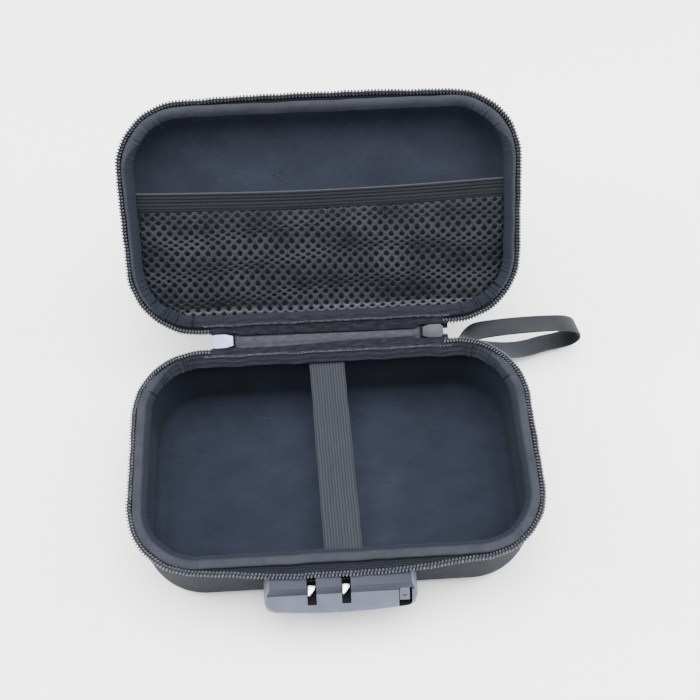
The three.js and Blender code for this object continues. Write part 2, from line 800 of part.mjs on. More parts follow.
const dialX = [...Array(dialCount).keys()].map((n) => dialFromLeft - lockHalf + n * dialPitch);
const pocketLeft = dialX[0] - windowWidth / 2;
const pocketRight = dialX[dialCount - 1] + windowWidth / 2;
const slots = [slotLeftX, slotRightX];
const latchLeft = latchFromLeft - lockHalf;
const latchRight = lockHalf - latchFromRight;
const springOut = buttonBack + springRadius + springMargin;
const wellRadius = springRadius + springWire + fit;

function screwHoles(out0, out1) {
  return screwPlaces.map(([x, down]) => cylinderAlongY(screwRadius + fit, -out1, -out0, x, -down));
}

// The button's recess in the sloping top corner, open to the front.
const recessLeft = buttonX - buttonWidth / 2 - fit;
const recessRight = buttonX + buttonWidth / 2 + buttonGapRight;
const recessTop = buttonTop - fit;
const recessBottom = buttonBottom + buttonTravel + fit;

// Each dial turns in a round chamber that breaks through the front face and is open at the back.
function dialChambers(behind) {
  const radius = dialRadius + fit;
  return dialX.flatMap((x) => {
    const round = new THREE.CylinderGeometry(radius, radius, windowWidth, roundSides);
    round.rotateZ(Math.PI / 2).translate(x, -dialOut, -dialDepth);
    const side = [x - windowWidth / 2, x + windowWidth / 2];
    return [round, lockBox(side, [behind, dialOut], [dialDepth - radius, dialDepth + radius])];
  });
}

// Its slope runs on into the bulge of the lip, under which the front face leans in.
function lockHousing() {
  const tipDown = lockLipDown + lockBulge / lipSlope;
  const underDown = tipDown + lipUnderside;
  const frontLean = (lockLip - lockFoot) / (lockBottom - lockLipDown);
  const section = lockExtrusion([
    [housingBack, lockTop],
    [lockLedge, lockTop],
    [lockRiserFoot, lockRiserBottom],
    [lockLip + lockBulge, tipDown],
    [lockLip - (underDown - lockLipDown) * frontLean, underDown],
    [lockFoot, lockBottom],
    [housingBack, lockBottom],
  ], -lockHalf, lockHalf);
  const behind = housingBack - overshoot;
  const past = lockLip + lockBulge + overshoot;
  const plan = planBlock(planOutline(), lockTop - overshoot, lockBottom + overshoot);
  const body = geometryOf(
    solidOf(section).intersect(solidOf(frontBlock(behind, past))).intersect(solidOf(plan)),
  );
  const seatLength = pocketRight - pocketLeft + 2 * shaftSeat;
  const seat = new THREE.CylinderGeometry(dialBore, dialBore, seatLength, roundSides);
  seat.rotateZ(Math.PI / 2).translate((pocketLeft + pocketRight) / 2, -dialOut, -dialDepth);
  const slotCuts = slots.map((x) => lockBox(
    [x - slotWidth / 2, x + slotWidth / 2],
    [slotBack, past],
    [lockTop - overshoot, slotFloor],
  ));
  const channelOut = [behind, latchFront + fit];
  const channelDown = [latchTop - fit, latchBottom + fit];
  const channel = lockBox([latchLeft - fit, latchRight + fit], channelOut, channelDown);
  const recess = lockBox([recessLeft, recessRight], [buttonBack - fit, past], [recessTop, recessBottom]);
  const wellTop = recessBottom - overshoot;
  const well = new THREE.CylinderGeometry(wellRadius, wellRadius, springWell - wellTop, roundSides);
  well.rotateX(Math.PI / 2).translate(buttonX, -springOut, -(springWell + wellTop) / 2);
  return cut(
    body, ...dialChambers(behind), seat, ...slotCuts, channel, recess, well,
    ...screwHoles(behind, screwReach + fit),
  );
}
piece(lock, 'lock_housing', lockHousing(), lockPlastic);

// The cover that closes the housing's back, and the plate inside the case that its screws pull on.
const coverBlock = frontBlock(coverBack, coverBack + lockCoverThickness);
piece(lock, 'lock_back_cover', cut(coverBlock, ...screwHoles(0, housingBack)), darkPlastic);

const screwDowns = screwPlaces.map(([, down]) => down);
const screwXs = screwPlaces.map(([x]) => x);
const plateDown = [Math.min(...screwDowns) - plateMarginDown, Math.max(...screwDowns) + plateMarginDown];
const plateSide = [Math.min(...screwXs) - plateMarginSide, Math.max(...screwXs) + plateMarginSide];
const plateBlock = lockBox(plateSide, [-plateBack - plateThickness, -plateBack], plateDown);
const plateHoles = screwHoles(-plateBack - plateThickness - overshoot, -plateBack + overshoot);
piece(lock, 'lock_inner_plate', cut(plateBlock, ...plateHoles), brightMetal);

// Pan-head screws, driven from inside the case.
const headSeat = plateBack + plateThickness + screwHeadGap;
function screw(x, down) {
  const profile = [
    [0, -screwReach],
    [screwRadius, -screwReach],
    [screwRadius, headSeat],
    [screwHeadRadius, headSeat],
    [screwHeadRadius * screwHeadTaper, headSeat + screwHeadHeight],
    [0, headSeat + screwHeadHeight],
  ];
  const lathe = new THREE.LatheGeometry(profile.map(([r, y]) => new THREE.Vector2(r, y)), roundSides);
  return lathe.translate(x, 0, -down);
}
screwPlaces.forEach(([x, down], n) => piece(lock, `lock_screw_${n + 1}`, screw(x, down), brightMetal));

// The number dials on their shaft: fluted rims on a plain bore.
function dial() {
  const shape = new THREE.Shape();
  for (let k = 0; k < dialFlutes * 2; k += 1) {
    const angle = (k / dialFlutes) * Math.PI;
    const reach = k % 2 === 0 ? dialRadius : dialRadius - fluteDepth;
    const point = [reach * Math.cos(angle), reach * Math.sin(angle)];
    if (k === 0) shape.moveTo(...point);
    else shape.lineTo(...point);
  }
  shape.closePath();
  shape.holes.push(new THREE.Path().absarc(0, 0, dialBore, 0, Math.PI * 2, true));
  const settings = { depth: dialThickness, bevelEnabled: false, curveSegments: 8 };
  const geometry = new THREE.ExtrudeGeometry(shape, settings).translate(0, 0, -dialThickness / 2);
  return geometry.rotateY(Math.PI / 2);
}
dialX.forEach((x, n) => {
  const mesh = piece(lock, `dial_${n + 1}`, dial(), darkPlastic);
  mesh.position.set(x, -dialOut, -dialDepth);
});
const shaftLength = pocketRight - pocketLeft + 2 * (shaftSeat - fit);
const shaft = new THREE.CylinderGeometry(shaftRadius, shaftRadius, shaftLength, roundSides);
shaft.rotateZ(Math.PI / 2).translate((pocketLeft + pocketRight) / 2, -dialOut, -dialDepth);
piece(lock, 'dial_shaft', shaft, brightMetal);

// The latch bar, with a nose in each slot whose outer right corner is cut away.
function latchBar() {
  const bar = lockBox([latchLeft, latchRight], [latchBack, latchFront], [latchTop, latchBottom]);
  const root = latchFront - noseRoot;
  const noses = slots.map((x) => {
    const left = x - noseWidth / 2;
    const right = x + noseWidth / 2;
    const outline = [
      [left, root],
      [right, root],
      [right, noseReach - noseSlant],
      [left + noseTip, noseReach],
      [left, noseReach],
    ].map(([a, b]) => new THREE.Vector2(a, b));
    return planBlock(new THREE.Shape(outline), noseTop, latchBottom);
  });
  return joined(bar, ...noses);
}
piece(lock, 'latch_bar', latchBar(), brightMetal);

// The opening button follows the riser and the slope, and its spring stands in the well below it.
function openButton() {
  const riser = (lockRiserFoot - lockLedge) / (lockRiserBottom - lockTop);
  const foot = lockRiserFoot - buttonSetback;
  const topOut = foot - (lockRiserBottom - buttonTop) * riser;
  const lipTop = buttonBottom - buttonLip;
  const lipOut = foot + (lipTop - lockRiserBottom) * lipSlope;
  return lockExtrusion([
    [buttonBack, buttonTop],
    [topOut, buttonTop],
    [foot, lockRiserBottom],
    [lipOut, lipTop],
    [lipOut, buttonBottom],
    [buttonBack, buttonBottom],
  ], buttonX - buttonWidth / 2, buttonX + buttonWidth / 2);
}
piece(lock, 'open_button', openButton(), lockPlastic);

// A helix of round wire, one unbroken tube, standing on the floor of the well.
function buttonSpring() {
  const stepsPerTurn = 8;
  const sides = 5;
  const height = springWell - buttonBottom - 2 * fit - 2 * springWire;
  const steps = springTurns * stepsPerTurn;
  const rows = [];
  for (let k = 0; k <= steps; k += 1) {
    const angle = (k / stepsPerTurn) * Math.PI * 2;
    const radial = new THREE.Vector3(Math.cos(angle), Math.sin(angle), 0);
    const centre = radial.clone().multiplyScalar(springRadius);
    centre.z = (k / steps) * height;
    const row = [];
    for (let side = 0; side < sides; side += 1) {
      const turn = (side / sides) * Math.PI * 2;
      const point = centre.clone().addScaledVector(radial, springWire * Math.cos(turn));
      point.z += springWire * Math.sin(turn);
      row.push(point);
    }
    rows.push(row);
  }
  const spring = skin(rows, { closeRow: true, capRows: true });
  return spring.translate(buttonX, -springOut, -springWell + fit + springWire);
}
piece(lock, 'button_spring', buttonSpring(), brightMetal);

export default root;
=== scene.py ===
# The storage case with its zip, cloth, net, strap and lock, ready to be rendered.
# Lengths are in metres. A place on either half is given by how far it lies along the zip's outer
# edge, how far inside that edge (inset) and how far from the plane where the halves meet (depth).
import json
import math

import bmesh
import bpy
import numpy as np
from mathutils import Matrix, Vector


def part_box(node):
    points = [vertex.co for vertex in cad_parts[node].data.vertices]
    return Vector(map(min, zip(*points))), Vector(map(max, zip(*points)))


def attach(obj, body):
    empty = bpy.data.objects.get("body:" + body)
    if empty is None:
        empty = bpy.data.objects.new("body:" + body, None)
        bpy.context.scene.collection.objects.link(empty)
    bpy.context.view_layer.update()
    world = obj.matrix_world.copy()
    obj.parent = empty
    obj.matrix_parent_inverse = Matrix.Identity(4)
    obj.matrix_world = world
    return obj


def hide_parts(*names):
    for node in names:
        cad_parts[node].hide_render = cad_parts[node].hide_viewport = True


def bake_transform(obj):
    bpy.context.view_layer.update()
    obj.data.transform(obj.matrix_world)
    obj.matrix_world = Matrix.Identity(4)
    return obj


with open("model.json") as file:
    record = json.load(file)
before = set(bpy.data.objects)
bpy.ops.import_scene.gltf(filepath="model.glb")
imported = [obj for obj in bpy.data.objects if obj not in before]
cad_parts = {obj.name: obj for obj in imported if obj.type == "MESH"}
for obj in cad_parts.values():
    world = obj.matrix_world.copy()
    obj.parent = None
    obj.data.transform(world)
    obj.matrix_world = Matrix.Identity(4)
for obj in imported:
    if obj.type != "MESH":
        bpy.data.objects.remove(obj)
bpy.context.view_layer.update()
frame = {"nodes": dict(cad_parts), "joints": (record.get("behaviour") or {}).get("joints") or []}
mm = 0.001
tau = 2 * math.pi

hinge = next(j for j in frame["joints"] if j["name"] == "lid_hinge")
hingeY, rimZ = hinge["pos_m"][1], hinge["pos_m"][2]
lidAngle = math.radians(hinge["range_deg"][1])  # how far the lid stands open in the photograph
lidCosine, lidSine = math.cos(lidAngle), math.sin(lidAngle)
zipLow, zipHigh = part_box("base_zip_coil")
halfWidth, halfDepth = zipHigh[0], -zipLow[1]

casePlan = {
    "cornerRadius": 38.5 * mm,
    "shellInset": 1.5 * mm,
    "shellWall": 3.5 * mm,
    "shellDraft": 0.8 * mm,
    "shellFillet": 12 * mm,
    "lidHeight": 28 * mm,
    "gap": 0.3 * mm,
    "liningThickness": 1 * mm,
}
cornerRadius = casePlan["cornerRadius"]
cornerX, cornerY = halfWidth - cornerRadius, halfDepth - cornerRadius
halfHeights = {"base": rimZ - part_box("base_shell")[0][2], "lid": casePlan["lidHeight"]}


def smoothStep(t):
    t = np.clip(t, 0, 1)
    return t * t * (3 - 2 * t)


# A smooth step of a value, from a start and over a length
def ramp(value, limits):
    start, length = limits
    return smoothStep((value - start) / length)


def unit(v):
    return v / np.linalg.norm(v, axis=-1, keepdims=True)


def stepLengths(points):
    return np.linalg.norm(np.diff(points, axis=0), axis=1)


def runFrom(steps):
    return np.concatenate([[0], np.cumsum(steps)])


# The camera stands where the photograph was taken
cameraPlace = {
    "elevation": 61.03,
    "azimuth": -3.71,
    "roll": 0.33,
    "distance": 526.5 * mm,
    "focalPixels": 972.2,
    "framePixels": 700,
    "sensor": 36,
    "aside": 8.5 * mm,
    "upwards": 53.1 * mm,
    "clipStart": 10 * mm,
}


def makeCamera():
    elevation, azimuth, roll = (
        math.radians(cameraPlace[key]) for key in ("elevation", "azimuth", "roll")
    )
    towards = Vector((
        math.sin(azimuth) * math.cos(elevation),
        -math.cos(azimuth) * math.cos(elevation),
        math.sin(elevation),
    ))
    level = Vector((math.cos(azimuth), math.sin(azimuth), 0))
    upright = towards.cross(level)
    right = math.cos(roll) * level + math.sin(roll) * upright
    up = -math.sin(roll) * level + math.cos(roll) * upright
    place = towards * cameraPlace["distance"]
    place += right * cameraPlace["aside"] + up * cameraPlace["upwards"]
    place.z += rimZ
    data = bpy.data.cameras.new("camera")
    data.sensor_width = cameraPlace["sensor"]
    data.lens = cameraPlace["focalPixels"] / cameraPlace["framePixels"] * cameraPlace["sensor"]
    data.clip_start = cameraPlace["clipStart"]
    camera = bpy.data.objects.new("camera", data)
    turned = Matrix((right, up, towards)).transposed().to_4x4()
    camera.matrix_world = Matrix.Translation(place) @ turned
    bpy.context.scene.collection.objects.link(camera)
    bpy.context.scene.camera = camera


makeCamera()
print("camera placed")


# All the values of one field of a mesh's vertices, faces or corners
def readField(items, field, width=1, kind=float):
    values = np.empty(len(items) * width, dtype=kind)
    items.foreach_get(field, values)
    return values.reshape(-1, width) if width > 1 else values


# A material, built from a few node helpers. Its patterns lie on the object's own place, or on the
# cloth's coordinates along and across the cloth.
class Paint:
    def __init__(self, name, colour, roughness, specular=0.5, sheen=0.0, metallic=0.0):
        self.material = bpy.data.materials.new(name)
        self.material.use_nodes = True
        self.tree = self.material.node_tree
        self.shader = self.tree.nodes["Principled BSDF"]
        sockets = {
            "Base Color": (*colour, 1), "Roughness": roughness, "Specular IOR Level": specular,
            "Metallic": metallic, "Sheen Weight": sheen, "Sheen Roughness": 0.4,
            "Sheen Tint": (0.8, 0.88, 1, 1),
        }
        for socket, value in sockets.items():
            self.shader.inputs[socket].default_value = value

    def link(self, value, socket):
        self.tree.links.new(value, self.shader.inputs[socket])

    def node(self, kind, inputs, output=0, **settings):
        node = self.tree.nodes.new(kind)
        for key, value in settings.items():
            setattr(node, key, value)
        for key, value in inputs.items():
            if isinstance(value, bpy.types.NodeSocket):
                self.tree.links.new(value, node.inputs[key])
            else:
                node.inputs[key].default_value = value
        return node.outputs[output]

    def place(self, source):
        if source == "cloth":
            return self.node("ShaderNodeUVMap", {}, uv_map="cloth")
        return self.node("ShaderNodeTexCoord", {}, "Object")

    def maths(self, operation, *values):
        return self.node("ShaderNodeMath", dict(enumerate(values)), operation=operation)

    def axis(self, source, index):
        return self.node("ShaderNodeSeparateXYZ", {0: self.place(source)}, index)

    def distance(self, source, index, start):
        return self.maths("ABSOLUTE", self.maths("SUBTRACT", self.axis(source, index), start))

    # A sine of one cloth coordinate, from -1 to 1, once in each pitch
    def ridges(self, index, pitch, shift=0.0):
        turn = self.maths("MULTIPLY_ADD", self.axis("cloth", index), tau / pitch, shift)
        return self.maths("SINE", turn)

    def weave(self, pitchAlong, pitchAcross):
        return self.maths("MULTIPLY", self.ridges(0, pitchAlong), self.ridges(1, pitchAcross))

    def scaled(self, source, scale):
        return self.node("ShaderNodeMapping", {"Vector": self.place(source), "Scale": scale})

    # Soft mottling, from 0 to 1, whose patches are about one size across
    def mottle(self, source, size, detail, roughness=0.5, stretch=(1, 1, 1)):
        scaled = self.scaled(source, [k / size for k in stretch])
        inputs = {"Vector": scaled, "Scale": 1.0, "Detail": detail, "Roughness": roughness}
        return self.node("ShaderNodeTexNoise", inputs, "Fac")

    # Distance to the nearest of some scattered points, in shares of their spacing
    def specks(self, source, spacing):
        scaled = self.scaled(source, [1 / spacing] * 3)
        return self.node("ShaderNodeTexVoronoi", {"Vector": scaled, "Scale": 1.0})

    # The sum of some patterns, each times its weight
    def total(self, values, weights):
        total = 0.0
        for key, weight in weights.items():
            total = self.maths("MULTIPLY_ADD", values[key], weight, total)
        return total

    # A layer mixes a low and a high colour as one pattern goes over a range. Either may be a layer
    # itself, and where one isn't given, the colours below show.
    def colour(self, layer, values, below):
        if layer is None:
            return below
        if not isinstance(layer, dict):
            return (*layer, 1)
        low, high = (self.colour(layer.get(side), values, below) for side in ("low", "high"))
        limits = {"From Min": layer["range"][0], "From Max": layer["range"][1]}
        spread = self.node("ShaderNodeMapRange", {"Value": values[layer["by"]], **limits})
        return self.node("ShaderNodeMix", {0: spread, 6: low, 7: high}, 2, data_type="RGBA")


# A finish says how its surface shines, which patterns it has, how much of each makes up the tone,
# and over which range of the tone it goes from dark to light. Layers lie over that. The bump is how
# deep each pattern is. Every material of a finish has a dark and a light colour.
threadFinish = {
    "surface": {"roughness": 0.6, "specular": 0.15, "sheen": 0.02},
    "patterns": {"twist": ("mottle", "object", 0.4 * mm, 2)},
    "tone": {"twist": 1},
    "bump": {"twist": 0.05 * mm},
    "colours": {
        "sewing thread": [(0.0060, 0.0065, 0.0085), (0.0150, 0.0160, 0.0200)],
        # The seam thread's pale colour is a painted highlight along the rear crest; the patch's
        # stitches share it
        "seam thread": [(0.030, 0.032, 0.038), (0.120, 0.122, 0.138)],
        "lint": [(0.015, 0.017, 0.022), (0.050, 0.054, 0.064)],
    },
}
shellFinish = {
    "surface": {"roughness": 0.82, "specular": 0.1, "sheen": 0.02},
    "patterns": {
        "weave": ("weave", 0.7 * mm, 0.7 * mm),
        "patches": ("mottle", "object", 14 * mm, 4),
        "fibres": ("mottle", "object", 0.5 * mm, 2),
    },
    "tone": {"fibres": 0.5, "patches": 1},
    "range": (0.55, 0.95),
    "bump": {"weave": 0.035 * mm, "fibres": 0.08 * mm, "patches": 0.25 * mm},
    "colours": {"shell cloth": [(0.0075, 0.0085, 0.011), (0.013, 0.0145, 0.018)]},
}
# Velvet: brushed patches, a fine pile and a few pale specks of lint. The lid's is the same velvet
# as the base's, painted lighter as painted light
velvetFinish = {
    "surface": {"roughness": 0.95, "specular": 0.04, "sheen": 0.03},
    "patterns": {
        "brushed": ("mottle", "object", 22 * mm, 5, 0.6, (1, 1.6, 1)),
        "pile": ("mottle", "object", 0.45 * mm, 3, 0.7),
        "nap": ("mottle", "object", 3 * mm, 3, 0.5, (1, 2.5, 1)),
        "specks": ("specks", "object", 9 * mm),
    },
    "tone": {"nap": 0.35, "brushed": 1, "pile": 0.5},
    "range": (0.6, 1.25),
    "layers": [{"by": "specks", "low": (0.055, 0.06, 0.07), "range": (0.02, 0.032)}],
    "bump": {"pile": 0.12 * mm, "nap": 0.1 * mm},
    "colours": {
        "base velvet": [(0.0110, 0.0130, 0.0196), (0.0174, 0.0203, 0.0309)],
        # painted light: the lid's velvet is the base's, painted lighter
        "lid velvet": [(0.0138, 0.0158, 0.0232), (0.0216, 0.0247, 0.0363)],
    },
}
# Binding: grosgrain ribs across the roll. Warmer patches show where it has been pulled round the
# corners. Its inner side is painted darker, as painted shade, and near the hinge it is creased and
# painted darker still in streaks along it, as painted shade.
bindingFinish = {
    "surface": {"roughness": 0.8, "specular": 0.08, "sheen": 0.03},
    "patterns": {
        "ribs": ("ridges", 0, 0.95 * mm),
        "threads": ("ridges", 1, 0.55 * mm),
        "fuzz": ("mottle", "object", 0.6 * mm, 3, 0.65),
        "patches": ("mottle", "object", 11 * mm, 3),
        "streaks": ("mottle", "cloth", 0.9 * mm, 4, 0.7, (0.12, 1, 1)),
        "across": ("axis", "cloth", 1),
        "fromHinge": ("distance", "object", 1, 68 * mm),
    },
    "tone": {"ribs": 0.03, "fuzz": 0.55, "patches": 0.45},
    "range": (0.3, 0.7),
    "layers": [
        {"by": "patches", "high": (0.0255, 0.0225, 0.0255), "range": (0.6, 0.85)},
        # painted shade down the roll's inner side
        {"by": "across", "high": (0.0110, 0.0130, 0.0190), "range": (8.4 * mm, 9.6 * mm)},
        # painted shade near the hinge, broken into streaks
        {
            "by": "fromHinge",
            "low": {
                "by": "streaks", "low": (0.0030, 0.0031, 0.0050),
                "high": (0.0150, 0.0151, 0.0215), "range": (0.35, 0.7),
            },
            "range": (8 * mm, 18 * mm),
        },
    ],
    "bump": {"ribs": 0.03 * mm, "threads": 0.02 * mm, "fuzz": 0.2 * mm, "streaks": 0.12 * mm},
    "colours": {"binding tape": [(0.0150, 0.0165, 0.0215), (0.0320, 0.0345, 0.0440)]},
}
tapeFinish = {
    "surface": {"roughness": 0.85, "specular": 0.08, "sheen": 0.01},
    "patterns": {
        "ribs": ("ridges", 1, 0.8 * mm),
        "knit": ("weave", 0.6 * mm, 0.8 * mm),
        "fuzz": ("mottle", "object", 0.7 * mm, 3),
    },
    "tone": {"ribs": 0.15, "fuzz": 1},
    "range": (0.3, 0.7),
    "bump": {"ribs": 0.06 * mm, "knit": 0.04 * mm, "fuzz": 0.1 * mm},
    "colours": {"zip tape": [(0.0045, 0.005, 0.007), (0.0115, 0.0130, 0.0175)]},
}
# Both halves' coils are one nylon, in a lit and a shaded copy: the base's is painted lighter, as
# painted light
coilFinish = {
    "surface": {"roughness": 0.32},
    "patterns": {"fuzz": ("mottle", "object", 1.1 * mm, 2)},
    "tone": {"fuzz": 1},
    "roughnessBy": ("fuzz", 0.25, 0.45),
    "bump": {"fuzz": 0.02 * mm},
    "colours": {
        "base zip coil": [(0.024, 0.026, 0.033), (0.085, 0.092, 0.115)],
        "lid zip coil": [(0.010, 0.011, 0.014), (0.040, 0.043, 0.053)],
    },
}
# Elastic: fine picks across it, and ribs along it whose grooves are painted darker, as painted
# shade
elasticFinish = {
    "surface": {"roughness": 0.75, "specular": 0.1, "sheen": 0.02},
    "patterns": {
        "picks": ("ridges", 0, 0.6 * mm),
        "ribs": ("ridges", 1, 1.54 * mm, -math.pi / 2),
        "streaks": ("mottle", "cloth", 1.6 * mm, 2, 0.5, (0.05, 1, 1)),
        "fuzz": ("mottle", "object", 0.5 * mm, 3, 0.6),
    },
    "tone": {"streaks": 0.35, "fuzz": 0.55, "ribs": 0.22},
    "range": (0.2, 0.7),
    "bump": {"picks": 0.03 * mm, "fuzz": 0.08 * mm},
    "colours": {"elastic": [(0.0115, 0.0125, 0.0160), (0.0260, 0.0280, 0.0350)]},
}
# The pocket's elastic is darker than the band's, its ribs are wider and its top edge is painted
# pale, as a painted highlight
pocketRibs = {"ribs": ("ridges", 1, 1.8 * mm, -math.pi / 2), "across": ("axis", "cloth", 1)}
pocketElasticFinish = elasticFinish | {
    "patterns": elasticFinish["patterns"] | pocketRibs,
    "layers": [{"by": "across", "low": (0.0300, 0.0330, 0.0400), "range": (0.35 * mm, 0.7 * mm)}],
    "colours": {"pocket elastic": [(0.0028, 0.0033, 0.0046), (0.0115, 0.0129, 0.0165)]},
}
# The net's lowest row is pulled taut, and paler
netFinish = {
    "surface": {"roughness": 0.5, "specular": 0.15, "sheen": 0.02},
    "patterns": {
        "loops": ("ridges", 0, 0.35 * mm),
        "rows": ("ridges", 1, 0.35 * mm),
        "fuzz": ("mottle", "object", 0.6 * mm, 3),
        "worn": ("mottle", "object", 19 * mm, 2),
        "across": ("axis", "cloth", 1),
    },
    "tone": {"fuzz": 0.5, "worn": 1},
    "range": (0.5, 1.05),
    "layers": [{"by": "across", "high": (0.0400, 0.0430, 0.0500), "range": (51 * mm, 53 * mm)}],
    "bump": {"loops": 0.02 * mm, "rows": 0.02 * mm, "fuzz": 0.12 * mm},
    "colours": {"net": [(0.0028, 0.0036, 0.0050), (0.0175, 0.0192, 0.0240)]},
}
hingeFinish = {
    "surface": {"roughness": 0.75, "specular": 0.12, "sheen": 0.02},
    "patterns": {
        "weave": ("weave", 0.7 * mm, 0.7 * mm),
        "fuzz": ("mottle", "cloth", 1.4 * mm, 4, 0.5, (0.35, 1, 1)),
    },
    "tone": {"fuzz": 1},
    "range": (0.3, 0.7),
    "bump": {"weave": 0.05 * mm, "fuzz": 0.12 * mm},
    "colours": {"hinge cloth": [(0.021, 0.0225, 0.030), (0.036, 0.038, 0.049)]},
}
# The strap's far half, where it comes back, catches more light
strapFinish = {
    "surface": {"roughness": 0.6, "specular": 0.15, "sheen": 0.01},
    "patterns": {
        "twill": ("weave", 0.55 * mm, 0.55 * mm),
        "worn": ("mottle", "cloth", 9 * mm, 4, 0.5, (0.3, 1, 1)),
        "fine": ("mottle", "cloth", 0.8 * mm, 2),
        "run": ("axis", "cloth", 0),
    },
    "tone": {"fine": 0.3, "worn": 1},
    "range": (0.45, 0.85),
    "layers": [{
        "by": "run",
        "high": {
            "by": "tone", "low": (0.0270, 0.0300, 0.0355),
            "high": (0.0500, 0.0545, 0.0640), "range": (0.45, 0.85),
        },
        "range": (115 * mm, 135 * mm),
    }],
    "roughnessBy": ("worn", 0.55, 0.75),
    "bump": {"twill": 0.03 * mm, "fine": 0.03 * mm},
    "colours": {"strap webbing": [(0.0098, 0.0112, 0.0135), (0.0182, 0.0205, 0.0240)]},
}
lockFinish = {
    "surface": {"roughness": 0.5, "specular": 0.25},
    "patterns": {
        "clouds": ("mottle", "object", 9 * mm, 3),
        "grain": ("mottle", "object", 0.5 * mm, 2, 0.6),
    },
    "tone": {"grain": 0.3, "clouds": 1},
    "range": (0.45, 0.85),
    "roughnessBy": ("clouds", 0.44, 0.58),
    "bump": {"grain": 0.02 * mm},
    "colours": {
        "lock plastic": [(0.078, 0.086, 0.122), (0.100, 0.109, 0.150)],
        # painted shade for the ledge and the riser under the zip
        "lock plastic in painted shade": [(0.0065, 0.0082, 0.0195), (0.0090, 0.0112, 0.0255)],
    },
}
darkFinish = {
    "surface": {"roughness": 0.75, "specular": 0.06},
    "patterns": {"grain": ("mottle", "object", 0.6 * mm, 3)},
    "tone": {"grain": 1},
    "roughnessBy": ("grain", 0.68, 0.85),
    "bump": {"grain": 0.02 * mm},
    "colours": {"dark plastic": [(0.0030, 0.0030, 0.0042), (0.0065, 0.0067, 0.0085)]},
}
markFinish = {
    "surface": {"roughness": 0.5},
    "patterns": {"worn": ("mottle", "object", 0.8 * mm, 3)},
    "tone": {"worn": 1},
    "colours": {"white mark": [(0.40, 0.41, 0.44), (0.60, 0.61, 0.64)]},
}
metalFinish = {
    "surface": {"roughness": 0.3, "specular": 0.5, "metallic": 1.0},
    "patterns": {
        "brushed": ("mottle", "object", 0.5 * mm, 3, 0.5, (0.15, 1, 1)),
        "smudge": ("mottle", "object", 4 * mm, 3),
    },
    "tone": {"smudge": 1},
    "roughnessBy": ("smudge", 0.26, 0.44),
    "bump": {"brushed": 0.008 * mm},
    "colours": {"bright metal": [(0.62, 0.63, 0.67), (0.86, 0.87, 0.90)]},
}
# The two sliders are one painted metal in a lit and a shaded copy: the left one is painted pale, as
# a painted reflection, and the right one dull and dark, as painted shade
litSliderFinish = metalFinish | {
    "surface": {"roughness": 0.3, "specular": 0.3, "metallic": 0.1},
    "colours": {"slider metal painted light": [(0.27, 0.28, 0.45), (0.34, 0.35, 0.56)]},
}
shadedSliderFinish = metalFinish | {
    "surface": {"roughness": 0.3, "specular": 0.2, "metallic": 0.0},
    "colours": {"slider metal painted shade": [(0.018, 0.018, 0.025), (0.028, 0.028, 0.037)]},
}
toneRange = (0.35, 0.65)


def mixPaint(name, finish, dark, light):
    paint = Paint(name, light, **finish["surface"])
    values = {
        key: getattr(paint, kind)(*settings)
        for key, (kind, *settings) in finish["patterns"].items()
    }
    values["tone"] = paint.total(values, finish["tone"])
    first = {"by": "tone", "low": dark, "high": light, "range": finish.get("range", toneRange)}
    colour = None
    for layer in [first, *finish.get("layers", [])]:
        colour = paint.colour(layer, values, colour)
    paint.link(colour, "Base Color")
    if "roughnessBy" in finish:
        key, low, high = finish["roughnessBy"]
        spread = {"Value": values[key], "To Min": low, "To Max": high}
        paint.link(paint.node("ShaderNodeMapRange", spread), "Roughness")
    if "bump" in finish:
        height = {"Height": paint.total(values, finish["bump"]), "Distance": 1.0, "Strength": 1.0}
        paint.link(paint.node("ShaderNodeBump", height), "Normal")
    return paint.material


paints = {
    name: mixPaint(name, finish, dark, light)
    for finish in (
        shellFinish, velvetFinish, bindingFinish, tapeFinish, coilFinish, elasticFinish,
        pocketElasticFinish, netFinish, hingeFinish, strapFinish, threadFinish, lockFinish,
        darkFinish, markFinish, metalFinish, litSliderFinish, shadedSliderFinish,
    )
    for name, (dark, light) in finish["colours"].items()
}
print("materials mixed")


# A finished piece, with its material, the body that it rides on and what it replaces. Its slot is
# not used.
def finishMesh(name, mesh, paint, body=None, slot=None, *replaced, smooth=True):
    mesh.polygons.foreach_set("use_smooth", [smooth] * len(mesh.polygons))
    mesh.materials.append(paints[paint])
    mesh.update()
    piece = bpy.data.objects.new(name, mesh)
    bpy.context.scene.collection.objects.link(piece)
    if body:
        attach(piece, body)
    if replaced:
        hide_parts(*replaced)
    return piece


